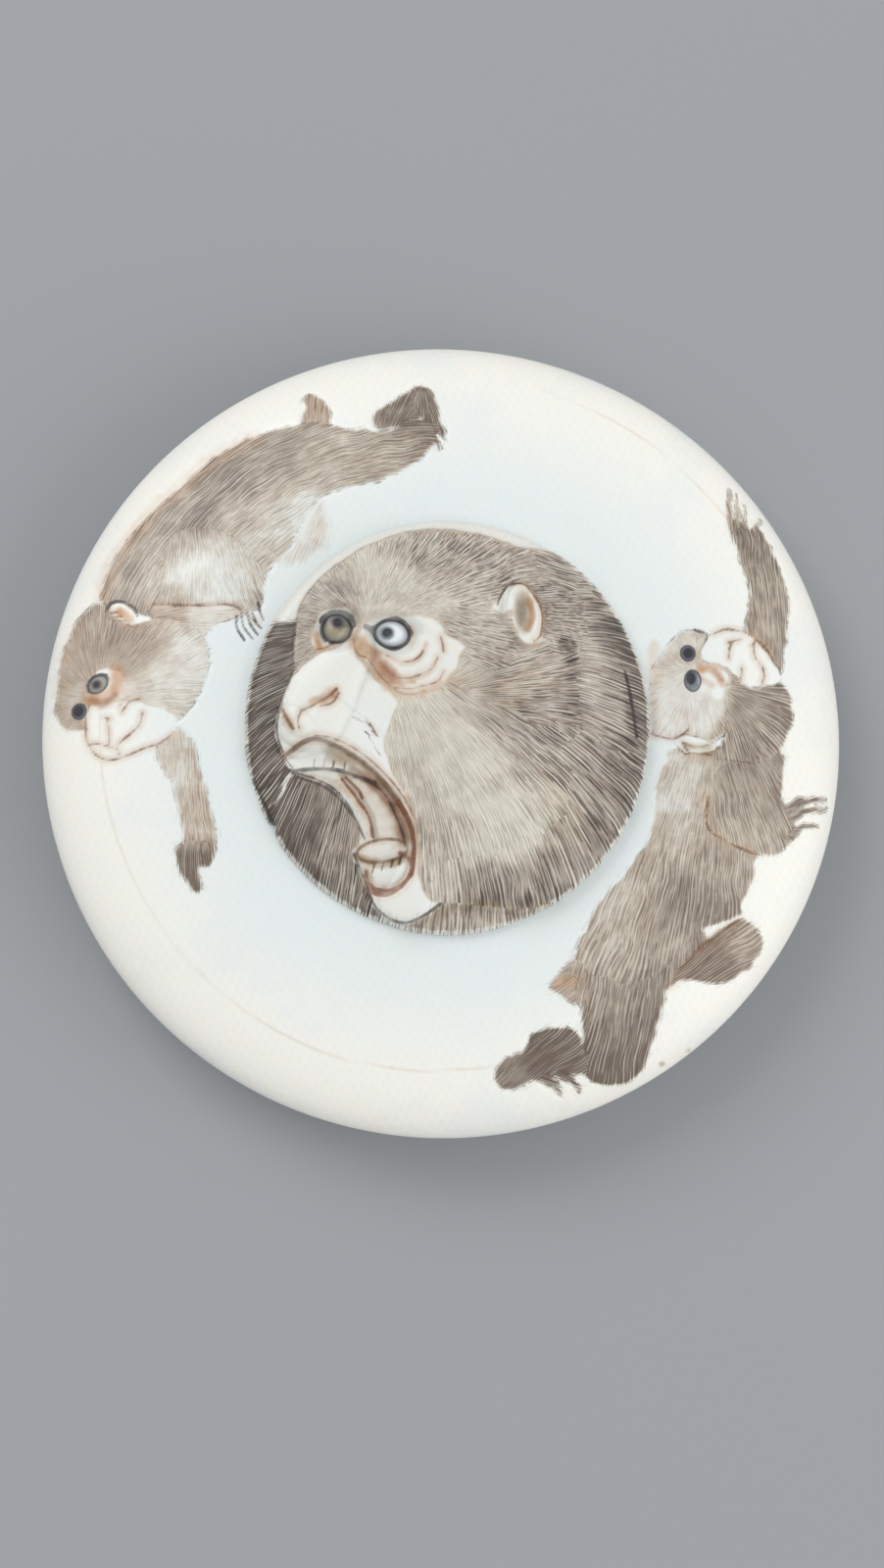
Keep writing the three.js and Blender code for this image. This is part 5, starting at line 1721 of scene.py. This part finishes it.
    def carve(self, x: Array, y: Array) -> tuple[Carving, Array]:
        """Stain and engrave the head.

        Args:
            x: Places along X.
            y: Places along Y.

        Returns:
            The carving, and how far its lines cut in.
        """
        carving = Carving.blank(len(x))
        jx, jy = HEAD_SWAY.move(x, y)
        edge, side = near_line(jx, jy, spline(HEAD_EDGE) * HEAD_UNIT)
        head_gap = np.where(side > 0, edge, -edge)
        for patch in HEAD_PATCHES:
            carving.lay(patch.gap(jx, jy, HEAD_UNIT), patch)
        carving.shade(x, y, HEAD_UNIT, HEAD_TONES, carving.tone[:, 0])
        for patch in BACKGROUND_PATCHES:
            carving.lay(np.maximum(patch.gap(jx, jy, HEAD_UNIT), -head_gap), patch)
        behind = smooth(head_gap, -0.03, 0.08) * carving.tone[:, 0]
        carving.shade(x, y, HEAD_UNIT, BACKGROUND_TONES, behind)
        bare = 1.0 - carving.tone[:, 0]
        crescent = CRESCENT_TAN * bare * smooth(head_gap, 0.0, 0.3)
        carving.stain[:, 0] = np.maximum(carving.stain[:, 0], crescent)
        out = np.hypot(x / HEAD_HALF_WIDTH, (y - HEAD_CENTRE_Y) / HEAD_HALF_HEIGHT)
        edge = smooth(out + ROUNDEL_EDGE_SWAY.shift(x, y), *self.bare_edge)
        carving.tone[:, 0] *= 1.0 - self.bare_share * edge
        carving.stain[:, 0] = np.maximum(carving.stain[:, 0], self.edge_tan * edge)
        carving.smear(x, y, HEAD_UNIT, HEAD_SMEARS)
        cut = carving.draw(x, y, HEAD_UNIT, HEAD_STROKES)
        carving.look(x, y, HEAD_UNIT, HEAD_EYES)
        return carving, cut

    def owners(self, x: Array, y: Array) -> Array:
        """Say which patch owns each place, with ragged borders between the tufts.

        Args:
            x: Places along X.
            y: Places along Y.

        Returns:
            The number of the patch for each place.
        """
        jx, jy = HEAD_TUFT_SWAY.move(x, y)
        owner = np.zeros(x.shape, dtype=int)
        for number, patch in enumerate(HEAD_PATCHES):
            if patch.coat is Coat.FUR:
                owner[patch.gap(jx, jy, HEAD_UNIT) < 0] = number
        _, side = near_line(x, y, spline(HEAD_EDGE) * HEAD_UNIT)
        for number, patch in enumerate(BACKGROUND_PATCHES, start=len(HEAD_PATCHES)):
            if patch.coat is Coat.FUR:
                owner[(patch.gap(x, y, HEAD_UNIT) < 0) & (side > 0)] = number
        return owner

    def build(self, material: bpy.types.Material) -> bpy.types.Object:
        """Build the roundel.

        Args:
            material: Its finish.

        Returns:
            The piece.
        """
        x, y, share = self.places()
        carving, cut = self.carve(x, y)
        strokes = stroke_relief(comb_places(x, y, self.patches, self.owners(x, y), HEAD_UNIT))
        furry = carving.tone[:, 1]
        relief = self.height(x, y, share, furry) + cut - self.stroke_depth * strokes * furry
        top = np.stack([x, y, face_height(x, y) + relief], axis=1)
        grid = np.arange(self.side**2).reshape(self.side, self.side)
        rim = np.concatenate([grid[:-1, 0], grid[-1, :-1], grid[:0:-1, -1], grid[0, :0:-1]])
        foot_height = float(face_height(np.array([HEAD_HALF_WIDTH]), np.array([0.0]))[0]) - self.foot_depth
        foot = top[rim].copy()
        foot[:, 2] = foot_height
        vertices = np.vstack([top, foot])
        quads = np.stack([grid[:-1, :-1], grid[1:, :-1], grid[1:, 1:], grid[:-1, 1:]], axis=-1).reshape(-1, 4)
        low = np.arange(len(rim)) + len(top)
        walls = np.stack([rim, low, np.roll(low, -1), np.roll(rim, -1)], axis=1)
        faces = [tuple(face) for face in quads.tolist()] + [tuple(face) for face in walls.tolist()]
        faces.append(tuple(low[::-1].tolist()))
        piece = make_object("carved_roundel", vertices, faces, self.bake_map(vertices, quads, len(rim), low),
                            material)
        for name in CARVED:
            values = getattr(carving, name)
            low_values = values[rim].copy()
            if name == "stain":
                low_values[:, 0] = FOOT_TAN
            store(piece.data, name, "POINT", np.vstack([values, low_values]))
        centres = top[quads].mean(axis=1)
        owner = self.owners(centres[:, 0], centres[:, 1])
        sides = np.full(len(walls) + 1, owner[0])
        wall_centres = top[rim]
        sides[:-1] = self.owners(wall_centres[:, 0], wall_centres[:, 1])
        comb_corners(piece.data, self.patches, np.concatenate([owner, sides]), HEAD_UNIT)
        return piece

    def bake_map(self, vertices: Array, quads: Array, around: int, low: Array) -> Array:
        """Lay the top, the wall and the hidden foot side by side on the map for baking.

        Args:
            vertices: Corner places in millimetres.
            quads: Vertex numbers of the top's faces.
            around: How many faces the wall has.
            low: Vertex numbers of the foot.

        Returns:
            One U and V for each corner of each face.
        """
        span = 2.1 * HEAD_HALF_HEIGHT
        flat = np.stack([0.5 + vertices[:, 0] / span, 0.55 + 0.9 * vertices[:, 1] / span], axis=1)
        top = flat[quads].reshape(-1, 2)
        start = np.arange(around) / around
        end = start + 1.0 / around
        strip = 0.04
        corners = ((start, strip), (start, 0.0), (end, 0.0), (end, strip))
        wall = np.stack([np.stack([along, np.full(around, up)], 1) for along, up in corners], 1)
        small = 0.97 + 0.02 * vertices[low[::-1], :2] / HEAD_HALF_WIDTH
        return np.vstack([top, wall.reshape(-1, 2), small])


@dataclass
class Field:
    """The disc itself, with the two monkeys engraved on its field."""

    around: int = 840
    rings: int = 100
    back_rings: int = 9
    hidden_radius: float = 10.8
    edge_depth: float = 0.05
    edge_half_width: float = 0.15
    least_edge: float = 0.3
    spot_share: float = 0.85
    growth_edge: tuple[float, float] = (-0.03, 0.06)
    growth_tan: float = 0.3
    samples: int = 4000
    face_map: tuple[float, float] = (0.36, 0.35)
    back_map: tuple[float, float] = (0.86, 0.13)

    def radii(self) -> Array:
        """Space the rings of the face evenly along its profile, from the roundel to the edge.

        Returns:
            The radius of each ring.
        """
        fine = np.sin(np.linspace(0.0, math.pi / 2, self.samples))
        fine = self.hidden_radius + (RADIUS - self.hidden_radius) * fine
        height = face_height(fine, np.zeros_like(fine))
        run = np.concatenate([[0.0], np.cumsum(np.hypot(np.diff(fine), np.diff(height)))])
        return np.interp(np.linspace(0.0, run[-1], self.rings), run, fine)

    def carve(self, x: Array, y: Array) -> tuple[Carving, Array]:
        """Stain and engrave the two monkeys.

        Args:
            x: Places along X.
            y: Places along Y.

        Returns:
            The carving, and how far its lines cut in.
        """
        carving = Carving.blank(len(x))
        jx, jy = FIELD_SWAY.move(x, y)
        cut = np.zeros(x.shape)
        for patch in FIELD_PATCHES:
            gap = patch.gap(jx, jy, FIELD_UNIT)
            carving.lay(gap, patch)
            cut = np.where(gap < -self.edge_half_width, 0.0, cut)
            if patch.edge > self.least_edge:
                cut = np.minimum(cut, groove(np.abs(gap), self.edge_depth, self.edge_half_width))
        carving.shade(x, y, FIELD_UNIT, FIELD_TONES, self.spot_share * carving.tone[:, 0])
        carving.smear(x, y, FIELD_UNIT, FIELD_SMEARS)
        cut = np.minimum(cut, carving.draw(x, y, FIELD_UNIT, FIELD_STROKES))
        faint = Carving.blank(len(x))
        faint.draw(x, y, FIELD_UNIT, GROWTH_LINES)
        bare = 1.0 - carving.tone[:, 0]
        line = 1.0 - smooth(faint.lines[:, 1], *self.growth_edge)
        carving.stain[:, 0] = np.maximum(carving.stain[:, 0], self.growth_tan * bare * line)
        carving.look(x, y, FIELD_UNIT, FIELD_EYES)
        return carving, cut

    def owners(self, x: Array, y: Array) -> Array:
        """Say which patch owns each place.

        Args:
            x: Places along X.
            y: Places along Y.

        Returns:
            The number of the patch for each place.
        """
        jx, jy = FIELD_TUFT_SWAY.move(x, y)
        owner = np.zeros(x.shape, dtype=int)
        nearest = np.full(x.shape, np.inf)
        for number, patch in enumerate(FIELD_PATCHES):
            gap = patch.gap(jx, jy, FIELD_UNIT)
            owner = np.where((gap < 0) | (gap < nearest), number, owner)
            nearest = np.where(gap < 0, 0.0, np.minimum(nearest, gap))
        return owner

    def build(self, material: bpy.types.Material) -> bpy.types.Object:
        """Build the disc.

        Args:
            material: Its finish.

        Returns:
            The piece.
        """
        angle = np.arange(self.around) / self.around * 2 * math.pi
        radii = self.radii()
        x = (radii[:, None] * np.cos(angle)).ravel()
        y = (radii[:, None] * np.sin(angle)).ravel()
        carving, cut = self.carve(x, y)
        top = np.stack([x, y, face_height(x, y) + cut], axis=1)
        back = []
        for ring in range(1, self.back_rings + 1):
            share = ring / self.back_rings * math.pi / 2
            spread = 0.0 if ring == self.back_rings else math.cos(share) ** (2 / BACK_ROUNDNESS)
            radius = SEAT_RADIUS + (RADIUS - SEAT_RADIUS) * spread
            height = EDGE_HEIGHT * (1.0 - math.sin(share) ** (2 / BACK_ROUNDNESS))
            level = np.full(self.around, height)
            back.append(np.stack([radius * np.cos(angle), radius * np.sin(angle), level], 1))
        vertices = np.vstack([top, *back])
        rows = self.rings + self.back_rings
        grid = np.arange(rows * self.around).reshape(rows, self.around)
        nxt = np.roll(grid, -1, axis=1)
        quads = np.stack([grid[:-1], grid[1:], nxt[1:], nxt[:-1]], axis=-1).reshape(-1, 4)
        faces = [tuple(face) for face in quads.tolist()]
        faces.append(tuple(grid[0].tolist()))
        faces.append(tuple(grid[-1, ::-1].tolist()))
        piece = make_object("carved_field", vertices, faces, self.bake_map(vertices, grid), material)
        rest = Carving.blank(len(vertices) - len(top))
        for name in CARVED:
            store(piece.data, name, "POINT", np.vstack([getattr(carving, name), getattr(rest, name)]))
        centres = vertices[quads].mean(axis=1)
        owner = np.concatenate([self.owners(centres[:, 0], centres[:, 1]), [0, 0]])
        comb_corners(piece.data, FIELD_PATCHES, owner, FIELD_UNIT)
        return piece

    def bake_map(self, vertices: Array, grid: Array) -> Array:
        """Unroll the face and the back as two flat rounds on the map for baking.

        Args:
            vertices: Corner places in millimetres.
            grid: Vertex numbers, one row for each ring.

        Returns:
            One U and V for each corner of each face.
        """
        ring_of = vertices[grid]
        step = np.linalg.norm(np.diff(ring_of[:, 0], axis=0), axis=1)
        run = self.hidden_radius + np.concatenate([[0.0], np.cumsum(step)])
        edge = self.rings - 1
        angle = np.arange(self.around + 1) / self.around * 2 * math.pi

        def around_ring(radius: float, right: float, up: float, size: float) -> Array:
            """Give the places of a ring on the map, around a centre."""
            out = radius / run[edge] * size
            return np.stack([right + out * np.cos(angle), up + out * np.sin(angle)], axis=1)

        parts = []
        for row in range(len(run) - 1):
            face_side = row < edge
            centre, size = self.face_map if face_side else self.back_map
            inner = run[row] if face_side else run[-1] - run[row] + SEAT_RADIUS
            outer = run[row + 1] if face_side else run[-1] - run[row + 1] + SEAT_RADIUS
            a = around_ring(inner, centre, centre, size)
            b = around_ring(outer, centre, centre, size)
            parts.append(np.stack([a[:-1], b[:-1], b[1:], a[1:]], axis=1).reshape(-1, 2))
        centre, size = self.back_map
        parts.append(around_ring(2.0, 0.92, 0.1, self.face_map[1])[:-1])
        parts.append(around_ring(SEAT_RADIUS, centre, centre, size)[:-1][::-1])
        return np.vstack(parts)


@dataclass(frozen=True)
class Lamp:
    """A soft square light, in metres and watts."""

    name: str
    place: tuple[float, float, float]
    power: float
    size: float


@dataclass(frozen=True)
class Studio:
    """The camera at the photograph's angle, a pale floor and soft lights."""

    picture_height: float = 1600.0
    focal_pixels: float = 2801.7
    tilt_down: float = 7.885
    tilt_left: float = 2.819
    distance: float = 165.0
    aim: tuple[float, float, float] = (-0.078, -2.885, 4.5)
    sensor: float = 36.0
    clip_start: float = 0.005
    floor_half: float = 1.5
    floor_roughness: float = 0.75
    floor_colour: tuple[float, ...] = linear(157, 160, 163)
    lamps: tuple[Lamp, ...] = (Lamp("key", (-0.42, 0.46, 0.6), 2.9, 0.5),
                               Lamp("fill", (0.66, -0.34, 0.36), 3.1, 0.8))
    sky_colour: tuple[float, ...] = (0.96, 0.98, 1.0, 1.0)
    sky_strength: float = 0.63

    def camera(self) -> None:
        """Place the camera where the photograph was taken from."""
        back = Vector((-math.tan(math.radians(self.tilt_left)), -math.tan(math.radians(self.tilt_down)), 1.0))
        back.normalize()
        right = Vector((0.0, 1.0, 0.0)).cross(back).normalized()
        up = back.cross(right)
        data = bpy.data.cameras.new("camera")
        data.sensor_fit = "AUTO"
        data.sensor_width = self.sensor
        data.lens = self.focal_pixels * self.sensor / self.picture_height
        data.clip_start = self.clip_start
        camera = bpy.data.objects.new("camera", data)
        bpy.context.collection.objects.link(camera)
        spot = (Vector(self.aim) + back * self.distance) * METRES
        turn = Matrix((right, up, back)).transposed().to_4x4()
        camera.matrix_world = Matrix.Translation(spot) @ turn
        bpy.context.scene.camera = camera

    def floor(self) -> None:
        """Lay the floor under the plaque."""
        half = self.floor_half
        corners = [(-half, -half, 0), (half, -half, 0), (half, half, 0), (-half, half, 0)]
        mesh = bpy.data.meshes.new("floor")
        mesh.from_pydata(corners, [], [(0, 1, 2, 3)])
        floor = bpy.data.objects.new("floor", mesh)
        bpy.context.collection.objects.link(floor)
        material = bpy.data.materials.new("floor")
        material.use_nodes = True
        shader = next(node for node in material.node_tree.nodes if node.type == "BSDF_PRINCIPLED")
        shader.inputs["Base Color"].default_value = self.floor_colour
        shader.inputs["Roughness"].default_value = self.floor_roughness
        mesh.materials.append(material)

    def lights(self) -> None:
        """Hang a soft key light at the upper left, a weaker fill and an even sky."""
        for lamp in self.lamps:
            data = bpy.data.lights.new(lamp.name, "AREA")
            data.energy = lamp.power
            data.size = lamp.size
            light = bpy.data.objects.new(lamp.name, data)
            light.location = lamp.place
            light.rotation_euler = (-Vector(lamp.place)).to_track_quat("-Z", "Y").to_euler()
            bpy.context.collection.objects.link(light)
        world = bpy.data.worlds.new("sky")
        world.use_nodes = True
        sky = next(node for node in world.node_tree.nodes if node.type == "BACKGROUND")
        sky.inputs["Color"].default_value = self.sky_colour
        sky.inputs["Strength"].default_value = self.sky_strength
        bpy.context.scene.world = world
        bpy.context.scene.view_settings.view_transform = "Standard"


def main() -> None:
    """Build the plaque and its surroundings."""
    logging.basicConfig(level=logging.INFO, format="%(message)s")
    studio = Studio()
    studio.camera()
    studio.floor()
    studio.lights()
    strokes = stroke_group(StrokeShape())
    grain = grain_and_painted_light_group(GrainAndPaintedLight())
    roundel = Roundel()
    field = Field()
    cool = EngravedIvory(
        "engraved ivory", pale_fur=linear(224, 217, 203), middle_fur=linear(192, 178, 161),
        deep_fur=linear(114, 97, 84), stroke=linear(98, 81, 68), fineness=1.7, shortness=0.6,
        clear=0.85, press=0.12, bite=1.0, streaks=0.5).make(strokes, grain)
    warm = EngravedIvory("engraved ivory, warm", heart=linear(232, 232, 225)).make(strokes, grain)
    for piece in (field.build(cool), roundel.build(warm)):
        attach(piece, BODY)
        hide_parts(NODE)
        LOG.info("%s: %d faces", piece.name, len(piece.data.polygons))


if __name__ == "__main__":
    main()
